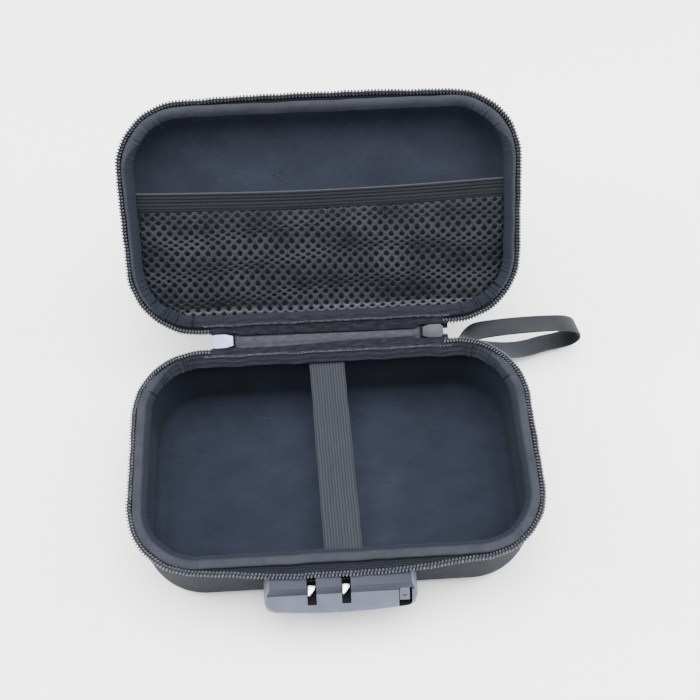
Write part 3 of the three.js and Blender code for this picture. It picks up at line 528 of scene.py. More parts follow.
# A mesh over rows of points, where each row closes round a section. The two end rows are capped,
# unless the piece is a ring, whose last row joins its first. The faces are turned outwards by the
# sign of the volume that they enclose.
def gridPiece(name, points, paint, body, slot, *replaced, uv=None, ring=False):
    n, m = points.shape[:2]
    i, j = np.meshgrid(np.arange(n if ring else n - 1), np.arange(m), indexing="ij")
    iNext, jNext = (i + 1) % n, (j + 1) % m
    quads = np.stack([i * m + j, iNext * m + j, iNext * m + jNext, i * m + jNext], -1)
    quads = quads.reshape(-1, 4)
    caps = [] if ring else [np.arange(m)[::-1], (n - 1) * m + np.arange(m)]
    flat = points.reshape(-1, 3)
    corners = flat[quads]
    volume = 0.0
    for a, b, c in ((0, 1, 2), (0, 2, 3)):
        volume += np.einsum("ij,ij->", corners[:, a], np.cross(corners[:, b], corners[:, c]))
    for cap in caps:
        row = flat[cap]
        volume += np.einsum("j,ij->", row[0], np.cross(row[1:-1], row[2:]))
    turn = -1 if volume < 0 else 1
    mesh = bpy.data.meshes.new(name)
    faces = quads[:, ::turn].tolist() + [cap[::turn].tolist() for cap in caps]
    mesh.from_pydata(flat.tolist(), [], faces)
    if uv is not None:
        loops = np.stack([uv[i, j], uv[i + 1, j], uv[i + 1, j + 1], uv[i, j + 1]], 2)
        loops = loops.reshape(-1, 4, 2)[:, ::turn].reshape(-1, 2)
        loops = np.vstack([loops, np.zeros((len(mesh.loops) - len(loops), 2))])
        layer = mesh.uv_layers.new(name="cloth")
        layer.data.foreach_set("uv", loops.astype(np.float32).ravel())
    return finishMesh(name, mesh, paint, body, slot, *replaced)


# Distances along each axis of a grid, as the two coordinates that a cloth pattern reads
def clothUv(along, across):
    return np.stack(np.meshgrid(along, across, indexing="ij"), -1)


# A flat piece: its section's upper face runs across and its lower face comes back. Values over the
# two faces are folded into one row, and the cloth's coordinate goes on round it.
def foldOver(upper, lower):
    return np.concatenate([upper, lower[:, ::-1]], 1)


def flatPiece(name, points, paint, body, slot, *replaced, along, across):
    girth = np.concatenate([across, 2 * across[-1] - across[::-1], [2 * across[-1] - across[0]]])
    uv = clothUv(along.ravel(), girth)
    return gridPiece(name, points, paint, body, slot, *replaced, uv=uv)


# The wrist strap: a flat loop that leaves its patch on the rear wall, droops and comes back
strapPlan = {
    "width": 11.5 * mm,
    "thickness": 1.2 * mm,
    "points": 280,
    "turnStart": 0.025,
    "turnLength": 0.09,
    "level": (0.23, -0.97, 0.0),
    "edgeRound": 0.45 * mm,
    "acrossPoints": 12,
}
strapRoute = mm * np.array([
    (66.3, 66.15, 43), (68.3, 66.15, 43), (70.3, 66.15, 43), (74.6, 67.4, 44), (80, 70.2, 45.4),
    (88, 72.8, 46.2), (98, 74.5, 45.6), (111, 77, 42.8), (123, 79.6, 39), (135, 82.2, 34.6),
    (145, 84.4, 30), (151.5, 86, 24.6), (155, 87.2, 18), (155.2, 87.6, 11.5), (151.5, 87.2, 7),
    (144.5, 86.2, 5.4), (135.5, 84.4, 6), (125.5, 80.8, 8), (115.5, 77.4, 12.2),
    (105.5, 74.4, 18.4), (95.5, 71.8, 25.8), (86, 70, 33.6), (78.5, 68.2, 39.4), (74, 66.5, 42),
    (70.3, 64.65, 43), (68.3, 64.65, 43), (66.3, 64.65, 43),
])


# A smooth curve through a route: between two points it is the mean of two parabolas, each spread
# by the square root of the distances between its points. It is then cut into even steps.
def curveThrough(route, count, finePer=60):
    p = np.vstack([2 * route[0] - route[1], route, 2 * route[-1] - route[-2]])
    knots = runFrom(stepLengths(p) ** 0.5)
    t = np.linspace(0, 1, finePer, endpoint=False)[None, :, None]
    a, b, c, d = p[:-3, None], p[1:-2, None], p[2:-1, None], p[3:, None]
    ta, tb, tc, td = (knots[k:len(knots) - 3 + k, None, None] for k in range(4))
    x = tb + t * (tc - tb)

    def between(u, v, tu, tv):
        return ((tv - x) * u + (x - tu) * v) / (tv - tu)

    ab, bc, cd = between(a, b, ta, tb), between(b, c, tb, tc), between(c, d, tc, td)
    curve = between(between(ab, bc, ta, tc), between(bc, cd, tb, td), tb, tc)
    fine = np.vstack([curve.reshape(-1, 3), route[-1]])
    run = runFrom(stepLengths(fine))
    even = np.linspace(0, run[-1], count)
    return np.stack([np.interp(even, run, fine[:, k]) for k in range(3)], -1), even


# A band's closed section: a rectangle whose corners are rounded by one radius
def bandSection(width, thickness, radius, acrossCount, cornerCount=4):
    x = np.linspace(-width / 2 + radius, width / 2 - radius, acrossCount)
    bend = np.linspace(0, math.pi / 2, cornerCount)
    half = thickness / 2
    top = np.stack([x, np.full_like(x, half)], -1)
    right = np.stack(
        [width / 2 - radius + radius * np.sin(bend), half - radius * (1 - np.cos(bend))], -1
    )
    upper = np.vstack([(right * (-1, 1))[::-1][:-1], top, right[1:]])
    return np.vstack([upper, upper[::-1] * (1, -1)])


def circle(sides):
    angle = np.linspace(0, tau, sides, endpoint=False)
    return np.stack([np.cos(angle), np.sin(angle)], -1)


# A section's points round each of some centres, from the two ways that it spreads in
def sweep(centres, across, up, section):
    return (
        centres[:, None] + across[:, None] * section[..., 0:1] + up[:, None] * section[..., 1:2]
    )


def squareTo(along, v):
    return unit(v - along * np.sum(v * along, axis=1, keepdims=True))


def wristStrap():
    centres, run = curveThrough(strapRoute, strapPlan["points"])
    t = run / run[-1]
    along = unit(np.gradient(centres, axis=0))
    fromEnd = np.minimum(t, 1 - t) - strapPlan["turnStart"]
    turn = smoothStep(fromEnd / strapPlan["turnLength"])[:, None] * math.pi / 2
    level = unit(np.array(strapPlan["level"]))
    across = squareTo(along, np.array([0, 0, 1]) * np.cos(turn) + level * np.sin(turn))
    up = unit(np.cross(along, across))
    section = bandSection(
        *(strapPlan[key] for key in ("width", "thickness", "edgeRound", "acrossPoints"))
    )
    girth = runFrom(stepLengths(np.vstack([section, section[:1]])))
    strap = gridPiece(
        "wrist_strap_webbing", sweep(centres, across, up, section), "strap webbing", "base",
        "strap_webbing", "wrist_strap", uv=clothUv(run, girth),
    )


wristStrap()
print("wrist strap hung")


# The zip's outer edge as one closed line. It starts at the middle of the rear and runs left, to
# the front and back along the right. It returns places and the way straight out from them.
edgeLength = 4 * (halfWidth + halfDepth) - 8 * cornerRadius + tau * cornerRadius


def edgeLine(s):
    r, a, b = cornerRadius, cornerX, cornerY
    q = r * math.pi / 2
    s = np.mod(s, edgeLength)
    starts = np.cumsum([0, a, q, 2 * b, q, 2 * a, q, 2 * b, q])
    leg = np.searchsorted(starts, s, side="right") - 1
    t = s - starts[leg]
    bend = leg % 2 == 1
    angle = math.pi / 2 * (1 + leg // 2) + np.where(bend, t / r, 0)
    nx, ny = np.cos(angle), np.sin(angle)
    straight = np.where(bend, 0, t)
    x = np.array([0, -a, -a, -a, -a, a, a, a, a])[leg] + r * nx - straight * ny
    y = np.array([b, b, b, -b, -b, -b, -b, b, b])[leg] + r * ny + straight * nx
    return x, y, nx, ny


def placeHalf(half, x, y, depth):
    x, y, depth = np.broadcast_arrays(x, y, depth)
    if half == "base":
        return np.stack([x, y, rimZ - depth], -1)
    back = y - hingeY
    upY = hingeY + back * lidCosine + depth * lidSine
    return np.stack([x, upY, rimZ - back * lidSine + depth * lidCosine], -1)


def onHalf(half, s, inset, depth):
    x, y, nx, ny = edgeLine(s)
    return placeHalf(half, x - inset * nx, y - inset * ny, depth)


# Uneven folds round the edge: a sum of sines that each fit the whole edge a whole number of times
def folds(s, pitches, seed):
    total = np.zeros_like(s)
    for k, pitch in enumerate(pitches):
        turns = round(edgeLength / pitch)
        total += np.sin(tau * turns * s / edgeLength + seed + 2.4 * k) / len(pitches)
    return total


# How far a place along the edge belongs to a corner, to the front and to the rear, from 0 to 1.
# A turn is the start and the length of a ramp, over how far the edge faces that way.
sharePlan = {
    "frontEnd": 84 * mm,
    "frontFade": 64 * mm,
    "frontTurn": (0.25, 0.6),
    "rearTurn": (0.55, 0.35),
}


def cornerShare(s):
    nx, ny = edgeLine(s)[2:]
    return np.clip(np.abs(2 * nx * ny), 0, 1) ** 0.5


def frontShare(s):
    x, ny = edgeLine(s)[::3]
    inwards = smoothStep((sharePlan["frontEnd"] - np.abs(x)) / sharePlan["frontFade"])
    return ramp(-ny, sharePlan["frontTurn"]) * inwards


def rearShare(s):
    return ramp(edgeLine(s)[3], sharePlan["rearTurn"])


# The moulded trays: a shell and a lining in each half. The linings' floors are a little wavy.
trayPlan = {
    "around": 420,
    "shellTop": 4.4 * mm,
    "liningTop": 4.2 * mm,
    "floorWave": 0.25 * mm,
    "wavePitches": (31 * mm, 23 * mm),
    "waveShifts": (0.7, 1.1),
    "waveFade": 2 * mm,
    "down": 14,
    "round": 10,
    "floor": 12,
    "lastRing": 0.001,
}


# A moulded wall: rings that run down the side, round the fillet and across the floor to its middle.
# The side leans in by the draft, and the floor's rings shrink towards the centre.
def wallRings(s, inset, fillet, startDepth, floorDepth):
    draft = casePlan["shellDraft"]
    down = np.linspace(0, 1, trayPlan["down"], endpoint=False)
    turn = np.linspace(0, math.pi / 2, trayPlan["round"])
    sideDepth = startDepth + (floorDepth - fillet - startDepth) * down
    insets = runTogether(inset + draft * down, inset + draft + fillet * (1 - np.cos(turn)))
    depths = runTogether(sideDepth, floorDepth - fillet + fillet * np.sin(turn))
    x, y, nx, ny = edgeLine(s)
    ringX, ringY = x - insets * nx, y - insets * ny
    shrink = np.linspace(1, trayPlan["lastRing"], trayPlan["floor"] + 1)[1:, None]
    ringX = np.vstack([ringX, ringX[-1] * shrink])
    ringY = np.vstack([ringY, ringY[-1] * shrink])
    return ringX, ringY, np.vstack([depths, 0 * shrink + floorDepth]) + 0 * ringX


def runTogether(*runs):
    return np.concatenate(runs)[:, None]


def trayPiece(name, half, paint, slot, replaced, inset, wall, fillet, top, floorDepth, wave=0.0):
    s = np.linspace(0, edgeLength, trayPlan["around"], endpoint=False)
    outer = wallRings(s, inset, fillet, top, floorDepth)
    inner = wallRings(s, inset + wall, fillet - wall, top, floorDepth - wall)
    x, y, depth = (np.vstack([a[::-1], b]) for a, b in zip(outer, inner))
    swell = wave
    for place, pitch, shift in zip(inner, trayPlan["wavePitches"], trayPlan["waveShifts"]):
        swell = swell * np.sin(place / pitch + shift)
    fade = trayPlan["waveFade"]
    depth[len(outer[0]):] += swell * ramp(inner[2], (floorDepth - wall - fade, fade))
    across = np.diff(x[:, 0]) + np.diff(y[:, 0])
    uv = clothUv(runFrom(np.hypot(across, np.diff(depth[:, 0]))), np.append(s, edgeLength))
    gridPiece(name, placeHalf(half, x, y, depth), paint, half, slot, replaced, uv=uv)


def makeTrays():
    inset, wall = casePlan["shellInset"], casePlan["shellWall"]
    apart = wall + casePlan["gap"]
    for half, height in halfHeights.items():
        trayPiece(
            f"{half}_shell_cloth", half, "shell cloth", "shell_cloth", f"{half}_shell", inset,
            wall, casePlan["shellFillet"], trayPlan["shellTop"], height,
        )
        trayPiece(
            f"{half}_lining_velvet", half, f"{half} velvet", "lining_velvet", f"{half}_lining",
            inset + apart, casePlan["liningThickness"], casePlan["shellFillet"] - apart,
            trayPlan["liningTop"], height - apart, trayPlan["floorWave"],
        )


makeTrays()
print("shells and linings moulded")


# The binding roll: a soft, uneven roll along the rim, puckered most in the corners. Its crest lies
# on its outer side, and its inner side slopes down to the lining. At the rear the crest is a ridge.
rollPlan = {
    "around": 1250,
    "perSpan": 4,
    "pucker": 0.05 * mm,
    "cornerPucker": 0.26 * mm,
    "rearCornerPucker": 0.75 * mm,
    "rearCornerTurn": (0.1, 0.5),
    "puckerPitches": [2.2 * mm, 3.4 * mm, 5.3 * mm],
    "secondAlong": 1.3 * mm,
    "innerTurn": 4.0,
    "outerShare": 0.6,
    "uneven": 0.9,
    "unevenPitches": [11 * mm, 17 * mm],
    "crease": 0.20 * mm,
    "creases": 10,
    "creaseWander": 1.6,
    "lidShadeShift": (3.2 * mm, 7.0 * mm),
    "lidShiftTurn": (0.2, 0.6),
    "slackPitches": [17 * mm, 29 * mm, 43 * mm],
    "slack": 0.25 * mm,
    "crestLimit": 0.06 * mm,
}
rollSections = {
    "base": [
        (4.2, 4.5), (3.5, 3.6), (3.15, 2.2), (2.8, 1.3), (3.2, 0.5), (4.4, 0.16), (6.0, 0.3),
        (7.6, 0.95), (9.2, 2.1), (10.3, 3.4), (10.3, 4.4), (8.8, 4.75), (6.4, 4.75),
    ],
    "lid": [
        (4.2, 4.5), (3.6, 3.7), (3.2, 2.5), (2.95, 1.5), (3.3, 0.6), (4.3, 0.16), (5.5, 0.25),
        (6.7, 0.8), (7.9, 1.9), (8.8, 3.2), (8.9, 4.3), (7.9, 4.75), (6.0, 4.75),
    ],
    "rear": [
        (4.2, 4.5), (3.6, 3.8), (3.3, 3.0), (3.2, 2.2), (3.6, 1.55), (4.2, 0.75), (4.8, 0.16),
        (5.6, 0.75), (7.4, 1.6), (9.3, 2.9), (10.1, 4.2), (8.6, 4.75), (6.2, 4.75),
    ],
}


# A closed curve through points: each span blends two neighbours' slopes as a cubic
def closedCurve(points, perSpan):
    p = np.array(points) * mm
    t = np.arange(perSpan)[None, :, None] / perSpan
    before, start, end, after = (np.roll(p, k, axis=0)[:, None] for k in (1, 0, -1, -2))
    curve = start + 0.5 * t * (
        end - before + t * (2 * before - 5 * start + 4 * end - after)
        + t ** 2 * (3 * (start - end) + after - before)
    )
    return curve.reshape(-1, 2)


def rollSlack(s, seed):
    return rollPlan["slack"] * folds(s, rollPlan["slackPitches"], seed + 1)


# The section's points are blended towards the rear's. Puckers push them along their own normal,
# and so do creases that run along the rear.
def bindingRoll(half, seed):
    s = np.linspace(0, edgeLength, rollPlan["around"], endpoint=False)[:, None]
    side, rear = (closedCurve(rollSections[key], rollPlan["perSpan"]) for key in (half, "rear"))
    section = side[None] + (rear - side)[None] * rearShare(s)[..., None]
    ahead = np.roll(section, -1, axis=1) - np.roll(section, 1, axis=1)
    normal = unit(np.stack([ahead[..., 1], -ahead[..., 0]], -1))
    centre = section.mean(axis=1, keepdims=True)
    normal *= np.sign(np.sum(normal * (section - centre), axis=(1, 2), keepdims=True))
    pucker = folds(s, rollPlan["puckerPitches"], seed)
    second = folds(s + rollPlan["secondAlong"], rollPlan["puckerPitches"], seed + 2)
    atRear = ramp(edgeLine(s)[3], rollPlan["rearCornerTurn"])
    inCorner = rollPlan["cornerPucker"] + rollPlan["rearCornerPucker"] * atRear
    fold = rollPlan["pucker"] + cornerShare(s) * inCorner
    fold *= 1 + rollPlan["uneven"] * folds(s, rollPlan["unevenPitches"], seed + 5)
    turn = np.linspace(0, tau, section.shape[1], endpoint=False)[None, :]
    innerSide = 0.5 + 0.5 * np.cos(turn - rollPlan["innerTurn"])
    push = fold * (pucker * innerSide + second * (1 - innerSide) * rollPlan["outerShare"])
    wander = rollPlan["creaseWander"] * folds(s, rollPlan["slackPitches"], seed + 3)
    push += rollPlan["crease"] * rearShare(s) * np.sin(rollPlan["creases"] * turn + wander)
    inset = section[..., 0] + normal[..., 0] * push + rollSlack(s, seed)
    depth = np.maximum(section[..., 1] + normal[..., 1] * push, rollPlan["crestLimit"])
    girth = runFrom(stepLengths(np.vstack([side, side[:1]])))
    uv = clothUv(np.append(s.ravel(), edgeLength), girth)
    # On the lid the painted shade down the roll's inner side reaches further round it, and less far
    # along the edge that is at the front when the case is shut
    if half == "lid":
        less, more = rollPlan["lidShadeShift"]
        uv[..., 1] += less - more * ramp(-edgeLine(uv[..., 0])[3], rollPlan["lidShiftTurn"])
    gridPiece(
        f"{half}_binding_roll", onHalf(half, s, inset, depth), "binding tape", half,
        "binding_tape", f"{half}_binding", uv=uv, ring=True,
    )


# A thread: a thin round tube along a line of points. No thread runs the way of the skew.
threadSkew = np.array([0.31, 0.17, 0.93])


def threadAlong(name, centres, plan, paint, body, slot):
    along = unit(np.gradient(centres, axis=0))
    side = unit(np.cross(along, threadSkew))
    ring = plan["radius"] * circle(plan["sides"])
    gridPiece(name, sweep(centres, side, np.cross(side, along), ring), paint, body, slot)


# A seam of small loops along the crest at the rear: a thin thread that sways from side to side. Its
# pale colour is a painted highlight along the crest
seamPlan = {
    "halfLength": 71 * mm,
    "inset": 4.8 * mm,
    "depth": 0.32 * mm,
    "hop": 0.12 * mm,
    "hopShift": 0.6,
    "drift": 0.1 * mm,
    "driftRate": 0.37,
    "sway": 0.5 * mm,
    "pitch": 1.9 * mm,
    "radius": 0.2 * mm,
    "sides": 5,
    "perPitch": 8,
}


def rearSeam(half, seed):
    reach = seamPlan["halfLength"]
    s = np.linspace(-reach, reach, int(2 * reach / seamPlan["pitch"] * seamPlan["perPitch"]))
    turn = tau * s / seamPlan["pitch"]
    inset = seamPlan["inset"] + rollSlack(s, seed) + seamPlan["sway"] * np.sin(turn)
    lift = seamPlan["hop"] * np.cos(2 * turn + seamPlan["hopShift"])
    lift += seamPlan["drift"] * np.sin(seamPlan["driftRate"] * turn)
    centres = onHalf(half, s, inset, seamPlan["depth"] + lift)
    threadAlong(f"{half}_rear_seam", centres, seamPlan, "seam thread", half, "binding_tape")


for halfName, seed in (("base", 0.4), ("lid", 3.1)):
    bindingRoll(halfName, seed)
    rearSeam(halfName, seed)
print("binding rolls sewn")


# Two hairs of lint, as places on the linings' floors
lintPlan = {"radius": 0.13 * mm, "sides": 5, "points": 60}
lintLines = {
    "base": [
        (-50, 51.2, 49.1), (-47.6, 47, 49.0), (-43.4, 44.1, 48.9), (-38.6, 43.1, 49.0),
        (-33.7, 41.5, 49.1),
    ],
    "lid": [
        (-28.4, -20.8, 23.1), (-25.5, -21.3, 22.9), (-23.3, -19.5, 22.9), (-20, -17.1, 23.0),
        (-17.8, -17, 23.1),
    ],
}
for halfName, line in lintLines.items():
    hair, run = curveThrough(placeHalf(halfName, *(mm * np.array(line)).T), lintPlan["points"])
    threadAlong(f"{halfName}_lint", hair, lintPlan, "lint", halfName, "lining_velvet")
print("lint laid")


# The zip: its tape leaves the roll and carries the coil along its edge. Open, it stands away from
# the roll along the front, so its edge moves outwards and down there.
zipPlan = {
    "endX": 66.8 * mm,
    "tapeThickness": 0.7 * mm,
    "tapeWidth": 5 * mm,
    "tapeRoot": 4.4 * mm,
    "tapeSag": 0.5 * mm,
    "rootDepth": 2.45 * mm,
    "edgeInset": 0.35 * mm,
    "edgeDepth": 0.75 * mm,
    "coilInset": 1.05 * mm,
    "coilDepth": 1.08 * mm,
    "coilHalfWidth": 1.25 * mm,
    "coilHalfHeight": 0.55 * mm,
    "wireRadius": 0.42 * mm,
    "coilPitch": 1.8 * mm,
    "stepsPerTurn": 10,
    "wireSides": 6,
    "cordHalfWidth": 0.54 * mm,
    "cordHalfHeight": 0.24 * mm,
    "seamHalfWidth": 0.36 * mm,
    "seamDepth": 0.1 * mm,
    "seamThickness": 0.1 * mm,
    "seamSwell": 0.18,
    "baseDroop": (4.2 * mm, 1.8 * mm),
    "lidDroop": (1.4 * mm, 0.4 * mm),
    "ripple": 0.25 * mm,
    "rippleDown": 0.6,
    "ripplePitches": [14 * mm, 23 * mm, 37 * mm],
    "rippleSeed": {"base": 1.7, "lid": 4.2},
    "along": 620,
    "seamAlong": 1300,
    "across": 9,
}


def zipRun(count):
    return np.linspace(zipPlan["endX"], edgeLength - zipPlan["endX"], count)


# Inset and depth of the coil's middle at each place along the edge
def coilLine(half, s):
    outwards, down = zipPlan[f"{half}Droop"]
    share = frontShare(s)
    wobble = zipPlan["ripple"] * folds(s, zipPlan["ripplePitches"], zipPlan["rippleSeed"][half])
    inset = zipPlan["coilInset"] - outwards * share + wobble
    return inset, zipPlan["coilDepth"] + (down + zipPlan["rippleDown"] * wobble) * share


def zipTape(half):
    s = zipRun(zipPlan["along"])[:, None]
    coilInset, coilDepth = coilLine(half, s)
    t = np.linspace(0, 1, zipPlan["across"])[None, :]
    root, rootDepth = zipPlan["tapeRoot"], zipPlan["rootDepth"]
    inset = root + (coilInset + zipPlan["edgeInset"] - root) * t
    sag = zipPlan["tapeSag"] * np.sin(math.pi * t) * frontShare(s)
    depth = rootDepth + (coilDepth + zipPlan["edgeDepth"] - rootDepth) * t + sag
    lift = zipPlan["tapeThickness"] / 2
    points = onHalf(half, s, foldOver(inset, inset), foldOver(depth - lift, depth + lift))
    flatPiece(
        f"{half}_zip_tape_cloth", points, "zip tape", half, "zip_tape", f"{half}_zip_tape",
        along=s, across=zipPlan["tapeWidth"] * t[0],
    )


# The coil is a helix of nylon, flattened against the tape
def zipCoil(half):
    turns = round((edgeLength - 2 * zipPlan["endX"]) / zipPlan["coilPitch"])
    s = zipRun(turns * zipPlan["stepsPerTurn"] + 1)
    turn = np.linspace(0, tau * turns, len(s))
    coilInset, coilDepth = coilLine(half, s)
    inset = coilInset + zipPlan["coilHalfWidth"] * np.cos(turn)
    centres = onHalf(half, s, inset, coilDepth + zipPlan["coilHalfHeight"] * np.sin(turn))
    along = unit(np.gradient(centres, axis=0))
    out = squareTo(along, centres - onHalf(half, s, coilInset, coilDepth))
    wire = zipPlan["wireRadius"] * circle(zipPlan["wireSides"])
    gridPiece(
        f"{half}_zip_teeth", sweep(centres, out, np.cross(along, out), wire), f"{half} zip coil",
        half, "zip_coil", f"{half}_zip_coil",
    )


# A cord lies along the inside of the coil
def zipCord(half):
    s = zipRun(zipPlan["along"])
    centres = onHalf(half, s, *coilLine(half, s))
    along = unit(np.gradient(centres, axis=0))
    up = np.broadcast_to(placeHalf(half, 0, 0, -1.0) - placeHalf(half, 0, 0, 0.0), along.shape)
    size = (zipPlan["cordHalfWidth"], zipPlan["cordHalfHeight"])
    cord = circle(zipPlan["wireSides"]) * size
    points = sweep(centres, unit(np.cross(along, up)), unit(up), cord)
    gridPiece(f"{half}_zip_cord", points, "sewing thread", half, "zip_coil")


# The seam that holds the coil runs over its middle, so only the two ends of each turn show. Its
# section is in shares of its half width and of its half thickness.
seamSection = np.array([(-1, 0.3), (-0.5, -1), (0.5, -1), (1, 0.3), (0.5, 1), (-0.5, 1)])


def zipSeam(half):
    s = zipRun(zipPlan["seamAlong"])[:, None]
    coilInset, coilDepth = coilLine(half, s)
    swell = zipPlan["seamSwell"] * np.sin(tau * s / zipPlan["coilPitch"])
    width = zipPlan["seamHalfWidth"] * (1 + swell)
    lift = seamSection[:, 1] * zipPlan["seamThickness"] / 2
    depth = coilDepth - zipPlan["coilDepth"] + zipPlan["seamDepth"] + lift
    points = onHalf(half, s, coilInset + seamSection[:, 0] * width, depth)
    gridPiece(f"{half}_zip_seam", points, "sewing thread", half, "zip_tape")


# Beside each slider the tape goes on towards the hinge strip, under the closed end of the chain
endTapePlan = {
    "start": 53.6 * mm,
    "ends": {"left": 66.2 * mm, "right": -69.5 * mm},
    "insets": (4.4 * mm, -3.8 * mm),
    "depth": 2.75 * mm,
    "thickness": 0.5 * mm,
    "along": 24,
    "across": 9,
}


def zipEndTape(half, word, end):
    s = np.linspace(math.copysign(endTapePlan["start"], end), end, endTapePlan["along"])[:, None]
    root, edge = endTapePlan["insets"]
    t = np.linspace(0, 1, endTapePlan["across"])
    inset = root + (edge - root) * t + 0 * s
    depth, lift = endTapePlan["depth"] + 0 * inset, endTapePlan["thickness"] / 2
    points = onHalf(half, s, foldOver(inset, inset), foldOver(depth - lift, depth + lift))
    flatPiece(
        f"{half}_end_tape_{word}", points, "zip tape", half, "zip_tape",
        along=s, across=(root - edge) * t,
    )


for halfName in ("base", "lid"):
    zipTape(halfName)
    zipCoil(halfName)
    zipCord(halfName)
    zipSeam(halfName)
    for word, end in endTapePlan["ends"].items():
        zipEndTape(halfName, word, end)
print("zip sewn on")


# The rear flange: the binding's free edge covers the zip's gap behind the roll, and each half's
# reaches out over the hinge strip by its own amount.
flangePlan = {
    "halfLength": 67 * mm,
    "root": (4.2 * mm, 1.5 * mm),
    "edge": (-0.2 * mm, 0.52 * mm),
    "thickness": 0.5 * mm,
    "width": 3.2 * mm,
    "inner": 52.5 * mm,
    "innerFade": 3 * mm,
    "base": (0.0, 2.0 * mm),
    "lid": (1.6 * mm, 0.8 * mm),
    "crossing": (-30 * mm, 26 * mm),
    "besideSlider": 0.4 * mm,
    "along": 420,
    "across": 10,
    "ripple": 0.07 * mm,
    "ripplePitch": 2.3 * mm,
    "edgeThinning": (1.02, 8),
}


# Its reach changes from one value to another across the middle, and is small beside the sliders
def rearFlange(half):
    last = flangePlan["halfLength"]
    s = np.linspace(-last, last, flangePlan["along"])[:, None]
    t = np.linspace(0, 1, flangePlan["across"])[None, :]
    x = edgeLine(s)[0]
    reach, growth = flangePlan[half]
    start, end = flangePlan["crossing"]
    between = smoothStep((x - start) / (end - start))
    free = smoothStep((flangePlan["inner"] - np.abs(x)) / flangePlan["innerFade"])
    beside = flangePlan["besideSlider"]
    edge = flangePlan["edge"][0] - beside - (reach + growth * between - beside) * free
    rootInset, rootDepth = flangePlan["root"]
    inset = rootInset + (edge - rootInset) * t
    ripple = flangePlan["ripple"] * np.sin(tau * s / flangePlan["ripplePitch"] + 3 * t) * t
    depth = rootDepth + (flangePlan["edge"][1] - rootDepth) * smoothStep(t) + ripple
    full, power = flangePlan["edgeThinning"]
    lift = flangePlan["thickness"] / 2 * np.sqrt(np.clip(full - t ** power, 0, 1))
    points = onHalf(half, s, foldOver(inset, inset), foldOver(depth - lift, depth + lift))
    flatPiece(
        f"{half}_rear_flange", points, "binding tape", half, "binding_tape",
        along=s, across=flangePlan["width"] * t[0],
    )


for halfName in ("base", "lid"):
    rearFlange(halfName)
print("rear flanges folded")


# The hinge strip: one cloth from the base's roll over the hinge axis to the lid's roll. Each half
# lies low under its flange, rises to the axis beyond it, and a small arc joins them there.
hingePlan = {
    "halfLength": 54.2 * mm,
    "thickness": 0.7 * mm,
    "rootInset": 4.4 * mm,
    "rootDepth": 2.6 * mm,
    "axisDepth": 0.6 * mm,
    "riseFrom": 66 * mm,
    "along": 160,
    "halfLine": 12,
    "line": 60,
    "wave": 0.1 * mm,
    "waveLength": 9 * mm,
    "blendReach": 2.2 * mm,
}


def hingeStrip():
    y = np.linspace(halfDepth - hingePlan["rootInset"], hingeY, hingePlan["halfLine"])
    rise = smoothStep((y - hingePlan["riseFrom"]) / (hingeY - hingePlan["riseFrom"]))
    depth = hingePlan["rootDepth"] + (hingePlan["axisDepth"] - hingePlan["rootDepth"]) * rise
    baseLine, lidLine = (placeHalf(half, 0, y, depth) for half in ("base", "lid"))
    route = np.vstack([baseLine[:-1:2], lidLine[::-1][1::2]])
    line, run = curveThrough(route, hingePlan["line"])
    normal = np.cross(np.array([1.0, 0, 0]), unit(np.gradient(line, axis=0)))
    x = np.linspace(-hingePlan["halfLength"], hingePlan["halfLength"], hingePlan["along"])[:, None]
    middle = np.sin(math.pi * run / run[-1])[None, :]
    wave = hingePlan["wave"] * np.sin(x / hingePlan["waveLength"]) * middle
    lift = hingePlan["thickness"] / 2
    upper, lower = (line[None] + normal[None] * (wave + k)[..., None] for k in (lift, -lift))
    points = foldOver(upper, lower)
    points[..., 0] = x
    strip = flatPiece(
        "hinge_strip_cloth", points, "hinge cloth", None, "hinge_cloth", "hinge_strip_base",
        "hinge_strip_lid", along=x, across=run,
    )
    start, end = (
        placeHalf(half, 0, hingeY - hingePlan["blendReach"], hingePlan["axisDepth"])
        for half in ("base", "lid")
    )
    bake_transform(strip)


hingeStrip()
print("hinge strip joined")


# The divider band: a ribbed elastic on a flat run, whose section is a row of round ribs
bandPlan = {
    "width": 20 * mm,
    "thickness": 1.2 * mm,
    "rearX": -1.6 * mm,
    "frontX": 2.0 * mm,
    "topDepth": 5.35 * mm,
    "endInset": 6.75 * mm,
    "ribs": 13,
    "perRib": 8,
    "ribDepth": 0.22 * mm,
    "edge": 0.8 * mm,
    "edgeShare": 0.65,
    "rows": 160,
    "sag": 0.5 * mm,
    "crimps": [(0.012, 7 * mm), (0.008, 2.9 * mm)],
}
ribRoundness = 0.6


def dividerBand():
    endY = halfDepth - bandPlan["endInset"]
    y = np.linspace(endY, -endY, bandPlan["rows"])[:, None]
    t = (endY - y) / (2 * endY)
    half, ribs, ribDepth = bandPlan["width"] / 2, bandPlan["ribs"], bandPlan["ribDepth"]
    v = np.linspace(-half, half, ribs * bandPlan["perRib"] + 1)
    bulge = np.abs(np.sin(math.pi * (v + half) / bandPlan["width"] * ribs)) ** ribRoundness
    thin = bandPlan["edgeShare"]
    edge = thin + (1 - thin) * smoothStep((half - np.abs(v)) / bandPlan["edge"])
    up = (bandPlan["thickness"] / 2 - ribDepth + ribDepth * bulge) * edge
    crimp = 1 + sum(share * np.sin(y / length) for share, length in bandPlan["crimps"])
    x = bandPlan["rearX"] + (bandPlan["frontX"] - bandPlan["rearX"]) * t + v * crimp
    sag = bandPlan["sag"] * np.sin(math.pi * t)
    middle = bandPlan["topDepth"] + bandPlan["thickness"] / 2 + sag
    points = placeHalf("base", foldOver(x, x), y, foldOver(middle - up, middle + up))
    flatPiece(
        "divider_band_elastic", points, "elastic", "base", "elastic", "divider_band",
        along=y, across=v,
    )


dividerBand()
print("divider band fitted")


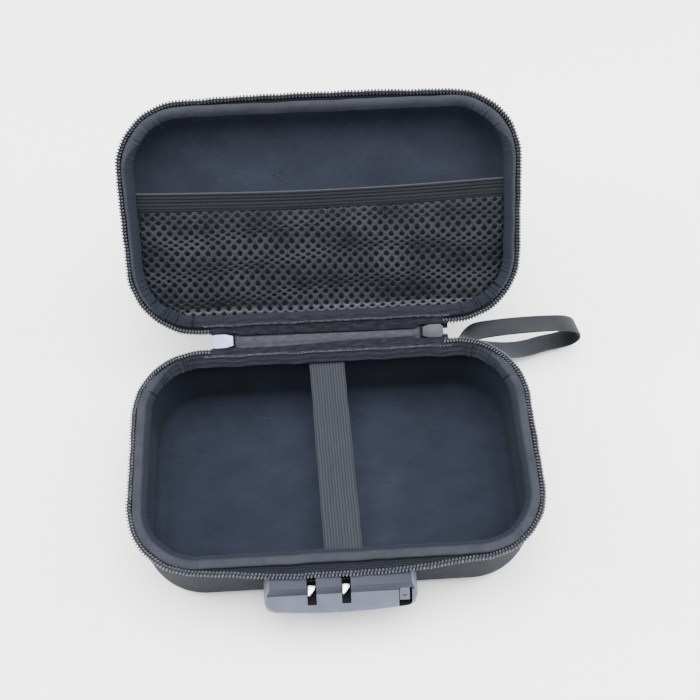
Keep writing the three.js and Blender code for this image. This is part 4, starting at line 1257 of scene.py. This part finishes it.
# The pocket: a net held along the lid's rim, and the elastic along its top edge
pocketPlan = {
    "elasticTopY": -16.5 * mm,
    "ribbedWidth": 5.4 * mm,
    "ribs": 3,
    "hemWidth": 5.1 * mm,
    "topDepth": 5.2 * mm,
    "thickness": 1.3 * mm,
    "endInset": 6.75 * mm,
    "sagAlong": 2.4 * mm,
    "columns": 220,
    "ribbedPoints": 25,
    "hemPoints": 14,
    "edges": (0.5 * mm, 0.6 * mm),
    "edgeShare": 0.35,
    "hemShare": 0.75,
    "grooveShare": 0.5,
    "hemPucker": (0.12 * mm, 0.75 * mm),
    "wave": (0.25 * mm, 11 * mm),
    "cellPitch": 5.9 * mm,
    "rowPitch": 2.6 * mm,
    "firstRowInset": 9.4 * mm,
    "holeHalfWidth": 1.42 * mm,
    "holeHalfHeight": 1.0 * mm,
    "yarnHeight": 0.42 * mm,
    "yarnProfile": (1.0, 0.8, 0.0),
    "yarnMiddle": 0.65,
    "netDepth": 5.9 * mm,
    "netEdgeInset": 6.9 * mm,
    "keepInset": 8.1 * mm,
    "bulge": 3.2 * mm,
    "tuck": 0.6 * mm,
    "tuckStart": 0.8,
    "tuckFade": 2 * mm,
    "heldSides": (0.96, 0.16),
    "heldTop": (0.14, 0.2),
    "heldRim": 0.22,
    "crowd": 1.15 * mm,
    "crowdPitch": 19 * mm,
    "crowdBend": (2.6, 2.1, 0.6),
    "crowdStart": 1.1,
    "joinWithin": 0.01 * mm,
}


# The elastic's top edge droops towards the hinge in its middle, as an arc of a sine
def pocketSag(x):
    reach = halfWidth - pocketPlan["endInset"]
    return pocketPlan["sagAlong"] * np.cos(math.pi / 2 * np.clip(x / reach, -1, 1))


def pocketElastic():
    reach = halfWidth - pocketPlan["endInset"]
    ribbedWidth, hemWidth = pocketPlan["ribbedWidth"], pocketPlan["hemWidth"]
    x = np.linspace(-reach, reach, pocketPlan["columns"])[:, None]
    ribbed = np.linspace(0, ribbedWidth, pocketPlan["ribbedPoints"])
    hem = ribbedWidth + np.linspace(0, hemWidth, pocketPlan["hemPoints"])[1:]
    v = np.concatenate([ribbed, hem])[None, :]
    bulge = np.abs(np.sin(math.pi * v / ribbedWidth * pocketPlan["ribs"])) ** ribRoundness
    isHem = v > ribbedWidth
    swell = np.sin(math.pi * np.clip((v - ribbedWidth) / hemWidth, 0, 1))
    thin, hemThin, groove = (pocketPlan[f"{key}Share"] for key in ("edge", "hem", "groove"))
    form = np.where(isHem, hemThin + (1 - hemThin) * swell, groove + (1 - groove) * bulge)
    topEdge, hemEdge = pocketPlan["edges"]
    edge = smoothStep(v / topEdge) * smoothStep((v[0, -1] - v) / hemEdge)
    half = pocketPlan["thickness"] / 2
    up = half * form * (thin + (1 - thin) * edge)
    (puckers, puckerLength), (waves, waveLength) = pocketPlan["hemPucker"], pocketPlan["wave"]
    pucker = puckers * np.sin(x / puckerLength) * isHem + waves * np.sin(x / waveLength)
    middle = pocketPlan["topDepth"] + half + 0 * x
    y = pocketPlan["elasticTopY"] + v + pocketSag(x)
    points = placeHalf("lid", x, foldOver(y, y), foldOver(middle - up + pucker, middle + up))
    flatPiece(
        "pocket_elastic_band", points, "pocket elastic", "lid", "elastic", "pocket_elastic",
        along=x, across=v[0],
    )


# The net bulges outwards in waves and in three slack places, and its rows crowd and spread in
# bands. All that dies out towards its held edges. A wave has its height, its rates across and up
# and its start. A slack place has its height, and then its middle and its size, both across and up.
netWaves = [(0.18, 13, 5, 0), (0.20, 5, -21, 1)]
netBulges = [
    (0.55, 0.35, 0.55, 0.30, 0.30),
    (0.40, -0.10, 0.62, 0.18, 0.20),
    (0.35, -0.62, 0.42, 0.22, 0.28),
]


def netSlack(x, y):
    u, v = x / halfWidth, (y - pocketPlan["elasticTopY"]) / (halfDepth - pocketPlan["elasticTopY"])
    end, fade = pocketPlan["heldSides"]
    held = smoothStep((end - np.abs(u)) / fade) * ramp(v, pocketPlan["heldTop"])
    held *= smoothStep((1 - v) / pocketPlan["heldRim"])
    waves = sum(height * np.sin(a * u + b * v + start) for height, a, b, start in netWaves)
    for height, atU, atV, sizeU, sizeV in netBulges:
        waves += height * np.exp(-(((u - atU) / sizeU) ** 2 + ((v - atV) / sizeV) ** 2))
    bend, rate, start = pocketPlan["crowdBend"]
    turn = tau * y / pocketPlan["crowdPitch"] + bend * np.sin(rate * u + start)
    crowd = np.sin(turn + pocketPlan["crowdStart"])
    return pocketPlan["bulge"] * held * waves, pocketPlan["crowd"] * held * crowd


# How far inside the outline a place on the lid lies. The net has no cell at the front corners.
def insetAt(x, y):
    overX, overY = np.abs(x) - cornerX, y - cornerY
    inCorner = (overX > 0) & (overY > 0)
    straight = np.minimum(halfWidth - np.abs(x), halfDepth - y)
    return np.where(inCorner, cornerRadius - np.hypot(overX, overY), straight)


# Moves points that lie nearer to the outline than an inset onto that inset
def keepInside(x, y, inset):
    overX, overY = np.maximum(np.abs(x) - cornerX, 0), np.maximum(y - cornerY, 0)
    pull = np.minimum(1, (cornerRadius - inset) / np.maximum(np.hypot(overX, overY), 1e-9))
    newX = np.where(overX > 0, np.sign(x) * (cornerX + overX * pull), x)
    return newX, np.where(overY > 0, cornerY + overY * pull, y)


# One cell is a six-sided tile round an oval hole: three rings of twelve points, the outer one on
# the tile's edge and the inner one on the hole's. The yarn is thickest midway between the holes.
def cellRings(a, b):
    reach = ((a / 2) ** 2 + b ** 2) / a
    tip, flat = reach, reach - 2 * b * b / a
    corners = np.array([(tip, 0), (flat, b), (-flat, b), (-tip, 0), (-flat, -b), (flat, -b)])
    outer = np.stack([corners, (corners + np.roll(corners, -1, axis=0)) / 2], 1).reshape(12, 2)
    angle = np.arctan2(outer[:, 1] / b, outer[:, 0] / tip)
    size = (pocketPlan["holeHalfWidth"], pocketPlan["holeHalfHeight"])
    hole = np.stack([np.cos(angle), np.sin(angle)], -1) * size
    middle = pocketPlan["yarnMiddle"]
    return np.stack([outer, outer * (1 - middle) + hole * middle, hole])


def pocketNet():
    a, b = pocketPlan["cellPitch"], pocketPlan["rowPitch"]
    rings = cellRings(a, b)
    lift = np.array(pocketPlan["yarnProfile"])[None, :, None] * pocketPlan["yarnHeight"]
    columns, rows = int(halfWidth / a) + 2, int(2 * halfDepth / b) + 2
    j, i = np.meshgrid(np.arange(-rows, rows), np.arange(-columns, columns), indexing="ij")
    cx = (i * a + np.where(j % 2 == 0, 0, a / 2)).ravel()
    cy = (halfDepth - pocketPlan["firstRowInset"] + j * b).ravel()
    netTop = pocketPlan["elasticTopY"] + pocketPlan["ribbedWidth"]
    keep = (insetAt(cx, cy) > pocketPlan["keepInset"]) & (cy > netTop + pocketSag(cx))
    x = cx[keep][:, None, None] + rings[None, ..., 0]
    y = cy[keep][:, None, None] + rings[None, ..., 1]
    x, y = keepInside(x, y, pocketPlan["netEdgeInset"])
    slack, crowded = netSlack(x, y)
    pastHem = y - pocketSag(x) - netTop - pocketPlan["hemWidth"] * pocketPlan["tuckStart"]
    tucked = 1 - smoothStep(pastHem / pocketPlan["tuckFade"])
    y = y + crowded
    level = pocketPlan["netDepth"] - slack + pocketPlan["tuck"] * tucked
    shell = np.stack([placeHalf("lid", x, y, level + side * lift) for side in (-1, 1)], 1)
    cells = len(x)
    index = np.arange(cells * 2 * 3 * 12).reshape(cells, 2, 3, 12)
    after = np.roll(index, -1, axis=3)
    upper = np.stack([index[:, 0, :-1], after[:, 0, :-1], after[:, 0, 1:], index[:, 0, 1:]], -1)
    lower = np.stack([index[:, 1, :-1], index[:, 1, 1:], after[:, 1, 1:], after[:, 1, :-1]], -1)
    faces = np.concatenate([upper.reshape(-1, 4), lower.reshape(-1, 4)])
    mesh = bpy.data.meshes.new("pocket_mesh")
    mesh.from_pydata(shell.reshape(-1, 3).tolist(), [], faces.tolist())
    net = finishMesh("pocket_mesh", mesh, "net", "lid", "net", "pocket_net")
    rework(mesh, closeEdges)
    flatUv(mesh)


# The net's cloth coordinates are its places on the lid's own plane
def flatUv(mesh):
    places = readField(mesh.vertices, "co", 3)
    y = hingeY + (places[:, 1] - hingeY) * lidCosine - (places[:, 2] - rimZ) * lidSine
    uv = np.stack([places[:, 0], y], -1)[readField(mesh.loops, "vertex_index", kind=np.int32)]
    mesh.uv_layers.new(name="cloth").data.foreach_set("uv", uv.astype(np.float32).ravel())


def rework(mesh, change):
    solid = bmesh.new()
    solid.from_mesh(mesh)
    change(solid)
    solid.to_mesh(mesh)
    solid.free()


def turnOutwards(solid):
    bmesh.ops.recalc_face_normals(solid, faces=solid.faces)


# Joins the tiles to each other, and the upper and lower faces along the net's outer edge
def closeEdges(solid):
    bmesh.ops.remove_doubles(solid, verts=solid.verts, dist=pocketPlan["joinWithin"])
    bmesh.ops.bridge_loops(solid, edges=[edge for edge in solid.edges if edge.is_boundary])
    turnOutwards(solid)


pocketElastic()
pocketNet()
print("pocket made")


# The lock's own coordinates: x from its middle, out from the front wall and down from the rim
lockPlan = {
    "middle": -0.6 * mm,
    "wall": 63.75 * mm,
    "housingRound": 0.5 * mm,
    "buttonRound": 0.25 * mm,
    "noseRound": 0.15 * mm,
    "sliderRound": 0.35 * mm,
    "dialRound": 0.15 * mm,
    "roundSegments": 3,
    "roundAngle": 32,
    "mergeAngle": 0.6,
    "slots": [-15 * mm, 2.8 * mm],
    "slotHalf": 2.4 * mm,
    "slotFloor": 15.1 * mm,
    "ledgeHalf": 36.4 * mm,
    "ledgeOut": 1 * mm,
    "ledgeMargin": 0.1 * mm,
    "riserFoot": (12.4 * mm, 10.5 * mm),
    "lip": (18.5 * mm, 17 * mm),
    "noseStart": 8.3 * mm,
    "buttonX": 32.8 * mm,
    "recessX": 33.3 * mm,
    "recessReach": 4.1 * mm,
    "recessDown": (8 * mm, 30 * mm),
    "recessOut": (5 * mm, 15 * mm),
    "dialOut": 9.9 * mm,
    "dialDown": 26 * mm,
    "dialRadius": 6 * mm,
    "chamberRadius": 6.5 * mm,
    "chamberEnd": 5 * mm,
    "hollowWidth": 12 * mm,
}


def lockPlace(x, out, down):
    x, out, down = np.broadcast_arrays(x, out, down)
    return np.stack([x + lockPlan["middle"], -out - lockPlan["wall"], rimZ - down], -1)


# A rigid piece with its edges rounded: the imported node's own faces, merged and bevelled
def roundedCopy(node, name, paint, width, body, slot):
    def mergeFaces(solid):
        bmesh.ops.remove_doubles(solid, verts=solid.verts, dist=1e-6)
        bmesh.ops.dissolve_limit(
            solid, angle_limit=math.radians(lockPlan["mergeAngle"]), verts=solid.verts,
            edges=solid.edges, use_dissolve_boundaries=False,
        )

    source = frame["nodes"][node]
    mesh = source.data.copy()
    mesh.name = name
    rework(mesh, mergeFaces)
    mesh.transform(source.matrix_world)
    mesh.materials.clear()
    piece = finishMesh(name, mesh, paint, body, slot, node)
    bevel = piece.modifiers.new("edges", "BEVEL")
    bevel.width = width
    bevel.segments = lockPlan["roundSegments"]
    bevel.limit_method = "ANGLE"
    bevel.angle_limit = math.radians(lockPlan["roundAngle"])
    bevel.harden_normals = True
    bevel.use_clamp_overlap = True
    return piece


# Gives each face one of several materials, chosen from its middle in the lock's coordinates and
# from how wide it is along x
def paintFaces(piece, more, choose):
    mesh = piece.data
    middles = readField(mesh.polygons, "center", 3)
    starts = readField(mesh.polygons, "loop_start", kind=np.int32)
    corner = readField(mesh.loops, "vertex_index", kind=np.int32)
    across = readField(mesh.vertices, "co", 3)[corner, 0]
    width = np.maximum.reduceat(across, starts) - np.minimum.reduceat(across, starts)
    for paint in more:
        mesh.materials.append(paints[paint])
    x, out = middles[:, 0] - lockPlan["middle"], -middles[:, 1] - lockPlan["wall"]
    choice = choose(x, out, rimZ - middles[:, 2], width)
    mesh.polygons.foreach_set("material_index", choice.astype(np.int32))


# The ledge and the riser are painted in darker plastic, as painted shade under the zip above them,
# and the slots, the recess and the dials' chambers are painted dark, as painted shade in these
# hollows
def housingFinish(x, out, down, width):
    def inside(value, limits):
        return (value > limits[0]) & (value < limits[1])

    # painted shade on the ledge and the riser
    upper = down < lockPlan["riserFoot"][1] - lockPlan["ledgeMargin"]
    upper &= (out > lockPlan["ledgeOut"]) & (np.abs(x) < lockPlan["ledgeHalf"])
    slot = np.min([np.abs(x - place) for place in lockPlan["slots"]], axis=0) < lockPlan["slotHalf"]
    slot &= down < lockPlan["slotFloor"]
    recess = np.abs(x - lockPlan["recessX"]) < lockPlan["recessReach"]
    recess &= inside(down, lockPlan["recessDown"]) & inside(out, lockPlan["recessOut"])
    fromDial = np.hypot(out - lockPlan["dialOut"], down - lockPlan["dialDown"])
    chamber = (fromDial < lockPlan["chamberRadius"]) & (x < lockPlan["chamberEnd"])
    # painted shade in the slots, the recess and the dials' chambers
    hollow = (slot | recess | chamber) & (width < lockPlan["hollowWidth"])
    return np.where(hollow, 2, np.where(upper, 1, 0))


def noseFinish(x, out, down, width):
    return np.where(out < lockPlan["noseStart"], 1, 0)


# Each rounded node with its piece, its material, its rounding, its body and its slot
roundedNodes = [
    ("lock_housing", "lock_body", "lock plastic", "housingRound", "base", "lock_plastic"),
    ("open_button", "button_cap", "lock plastic", "buttonRound", "button", "lock_plastic"),
    ("latch_bar", "latch_noses", "bright metal", "noseRound", "latch", "bright_metal"),
    ("lock_back_cover", "lock_backplate", "dark plastic", "dialRound", "base", "dark_plastic"),
] + [
    (f"dial_{n}", f"dial_{n}_wheel", "dark plastic", "dialRound", f"dial_{n}_body", "dark_plastic")
    for n in (1, 2, 3)
] + [
    (f"zip_{part}", f"{part}_metal", paint, "sliderRound", part, "bright_metal")
    for side, paint in (("left", "slider metal painted light"), ("right", "slider metal painted shade"))
    for part in (f"slider_{side}", f"pull_{side}")
]
# the housing's ledge, riser and hollows get painted shade
facePaints = {
    "lock_housing": (["lock plastic in painted shade", "dark plastic"], housingFinish),
    "latch_bar": (["dark plastic"], noseFinish),
}
for node, name, paint, width, body, slot in roundedNodes:
    piece = roundedCopy(node, name, paint, lockPlan[width], body, slot)
    if node in facePaints:
        paintFaces(piece, *facePaints[node])


# The button's mark: a plain V of two strokes, raised a little from its sloping face
markPlan = {
    "halfWidth": 1.35 * mm,
    "height": 1.0 * mm,
    "stroke": 0.5 * mm,
    "down": 13.0 * mm,
    "sunk": 0.12 * mm,
    "lifts": (-0.08 * mm, 0.05 * mm),
}


def buttonMark():
    footOut, footDown = lockPlan["riserFoot"]
    lipOut, lipDown = lockPlan["lip"]
    slope = unit(np.array([0, -(lipOut - footOut), -(lipDown - footDown)]))
    level = np.array([1.0, 0, 0])
    proud = np.cross(slope, level)
    proud *= np.sign(-proud[1])
    out = footOut + (markPlan["down"] - footDown) * (lipOut - footOut) / (lipDown - footDown)
    middle = lockPlace(lockPlan["buttonX"], out - markPlan["sunk"], markPlan["down"])
    w, h, half = markPlan["halfWidth"], markPlan["height"], markPlan["stroke"] / 2
    line = np.array([(-w, 0), (0, h), (w, 0)]) - (0, h / 2)
    low, high = markPlan["lifts"]
    rows = [
        middle + line[:, :1] * level + (line[:, 1:] + shift) * slope + lift * proud
        for lift, shift in ((low, -half), (low, half), (high, half), (high, -half))
    ]
    gridPiece("button_mark", np.stack(rows, 1), "dark plastic", "button", "dark_plastic")


buttonMark()

# Ten plain digits stand round each dial. Each is bent onto the dial's rim, with its top upwards.
digitPlan = {"size": 3.6 * mm, "lift": 0.12 * mm, "thickness": 0.05 * mm, "curveSteps": 2}


def digitShape(digit):
    curve = bpy.data.curves.new("digit", "FONT")
    curve.body = str(digit)
    curve.size = digitPlan["size"]
    curve.align_x, curve.align_y = "CENTER", "CENTER"
    curve.extrude = digitPlan["thickness"] / 2
    curve.resolution_u = digitPlan["curveSteps"]
    text = bpy.data.objects.new("digit", curve)
    mesh = bpy.data.meshes.new_from_object(text)
    places = readField(mesh.vertices, "co", 3)
    faces = [list(polygon.vertices) for polygon in mesh.polygons]
    bpy.data.objects.remove(text)
    bpy.data.meshes.remove(mesh)
    bpy.data.curves.remove(curve)
    return places, faces


def dialDigits(n, shapes):
    low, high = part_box(f"dial_{n}")
    middle = lockPlace(0, lockPlan["dialOut"], lockPlan["dialDown"])
    radius = lockPlan["dialRadius"] + digitPlan["lift"]
    points, faces, total = [], [], 0
    for digit, (shape, shapeFaces) in enumerate(shapes):
        turn = -tau * digit / 10 + shape[:, 1] / radius
        reach = radius + shape[:, 2]
        points.append(np.stack([
            (low[0] + high[0]) / 2 + shape[:, 0],
            middle[1] - reach * np.cos(turn),
            middle[2] + reach * np.sin(turn),
        ], -1))
        faces += [[index + total for index in face] for face in shapeFaces]
        total += len(shape)
    name = f"dial_{n}_digits"
    mesh = bpy.data.meshes.new(name)
    mesh.from_pydata(np.vstack(points).tolist(), [], faces)
    finishMesh(name, mesh, "white mark", f"dial_{n}_body", "dark_plastic", smooth=False)


digitShapes = [digitShape(digit) for digit in range(10)]
for n in (1, 2, 3):
    dialDigits(n, digitShapes)
print("lock and sliders finished")


# The strap's patch is sewn on with a box and a cross. Each stitch is a short arched thread: a small
# tube that is thickest in its middle and covers a share of its step.
patchPlan = {
    "margin": 1.3 * mm,
    "pitch": 1.9 * mm,
    "thread": 0.2 * mm,
    "cover": (0.14, 0.86),
    "arch": 0.7,
    "endShare": 0.45,
    "rings": 5,
    "sides": 6,
}


def stitchRow(name, corners):
    radius, (first, last) = patchPlan["thread"], patchPlan["cover"]
    starts, ends = [], []
    for a, b in zip(corners[:-1], corners[1:]):
        count = max(1, round(float(np.linalg.norm(b - a)) / patchPlan["pitch"]))
        step, k = (b - a) / count, np.arange(count)[:, None]
        starts.append(a + step * (k + first))
        ends.append(a + step * (k + last))
    start, end = np.vstack(starts), np.vstack(ends)
    t = np.linspace(0, 1, patchPlan["rings"])[None, :, None]
    arch = np.sin(math.pi * t)
    normal = np.array([0.0, 1.0, 0.0])
    side = np.cross(unit(end - start), normal)
    centre = start[:, None] + (end - start)[:, None] * t
    centre += normal * radius * patchPlan["arch"] * arch
    turn = circle(patchPlan["sides"])
    ring = turn[:, :1] * side[:, None, None] + turn[:, 1:] * normal
    thin = patchPlan["endShare"]
    points = centre[:, :, None] + radius * (thin + (1 - thin) * arch)[..., None] * ring
    index = np.arange(points[..., 0].size).reshape(points.shape[:3])
    after = np.roll(index, -1, axis=2)
    walls = np.stack([index[:, :-1], after[:, :-1], after[:, 1:], index[:, 1:]], -1)
    caps = index[:, 0, ::-1].tolist() + index[:, -1].tolist()
    mesh = bpy.data.meshes.new(name)
    mesh.from_pydata(points.reshape(-1, 3).tolist(), [], walls.reshape(-1, 4).tolist() + caps)
    rework(mesh, turnOutwards)
    finishMesh(name, mesh, "seam thread", "base", "strap_webbing")


def patchStitches():
    low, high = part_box("strap_patch")
    margin, y = patchPlan["margin"], high[1]
    x0, x1, z0, z1 = low[0] + margin, high[0] - margin, low[2] + margin, high[2] - margin
    box = [(x0, y, z0), (x1, y, z0), (x1, y, z1), (x0, y, z1), (x0, y, z0), (x1, y, z1)]
    stitchRow("strap_patch_stitches", np.array(box))
    stitchRow("strap_patch_cross", np.array([(x1, y, z0), (x0, y, z1)]))


patchStitches()
print("patch stitched")


# CAD nodes whose own shape is kept get their finish here
keptFinishes = {
    "strap webbing": ["strap_patch"],
    "bright metal": [
        "lock_inner_plate", "dial_shaft", "button_spring",
        *(f"lock_screw_{n}" for n in range(1, 5)),
    ],
    "dark plastic": ["zip_stop_left", "zip_stop_right"],
}
for paint, nodes in keptFinishes.items():
    for node in nodes:
        for place in frame["nodes"][node].material_slots:
            place.material = paints[paint]
print("kept nodes painted")


# Each lamp has its place, its power and its size
studio = {
    "floorColour": (0.99, 0.99, 1.0),
    "floorRoughness": 0.9,
    "floorSize": 6.0,
    "skyStrength": 1.0,
    "skyColour": (0.95, 0.97, 1.0),
    "lamps": {
        "top": ((0.05, 0.05, 1.35), 52.0, 1.1),
        "left": ((-1.05, 0.15, 0.75), 22.0, 0.8),
        "right": ((1.05, 0.15, 0.75), 22.0, 0.8),
    },
}


def makeStudio():
    paints["floor"] = Paint("floor", studio["floorColour"], studio["floorRoughness"]).material
    half = studio["floorSize"] / 2
    mesh = bpy.data.meshes.new("floor")
    corners = [(-half, -half, 0), (half, -half, 0), (half, half, 0), (-half, half, 0)]
    mesh.from_pydata(corners, [], [(0, 1, 2, 3)])
    finishMesh("floor", mesh, "floor")
    world = bpy.data.worlds.new("studio")
    world.use_nodes = True
    sky = world.node_tree.nodes["Background"]
    sky.inputs["Color"].default_value = (*studio["skyColour"], 1)
    sky.inputs["Strength"].default_value = studio["skyStrength"]
    bpy.context.scene.world = world
    for name, (corner, power, size) in studio["lamps"].items():
        light = bpy.data.lights.new(f"{name} light", "AREA")
        light.energy = power
        light.size = size
        lamp = bpy.data.objects.new(f"{name} light", light)
        place = Vector(corner)
        turned = place.to_track_quat("Z", "Y").to_matrix().to_4x4()
        lamp.matrix_world = Matrix.Translation(place) @ turned
        bpy.context.scene.collection.objects.link(lamp)


makeStudio()
print("studio lit")
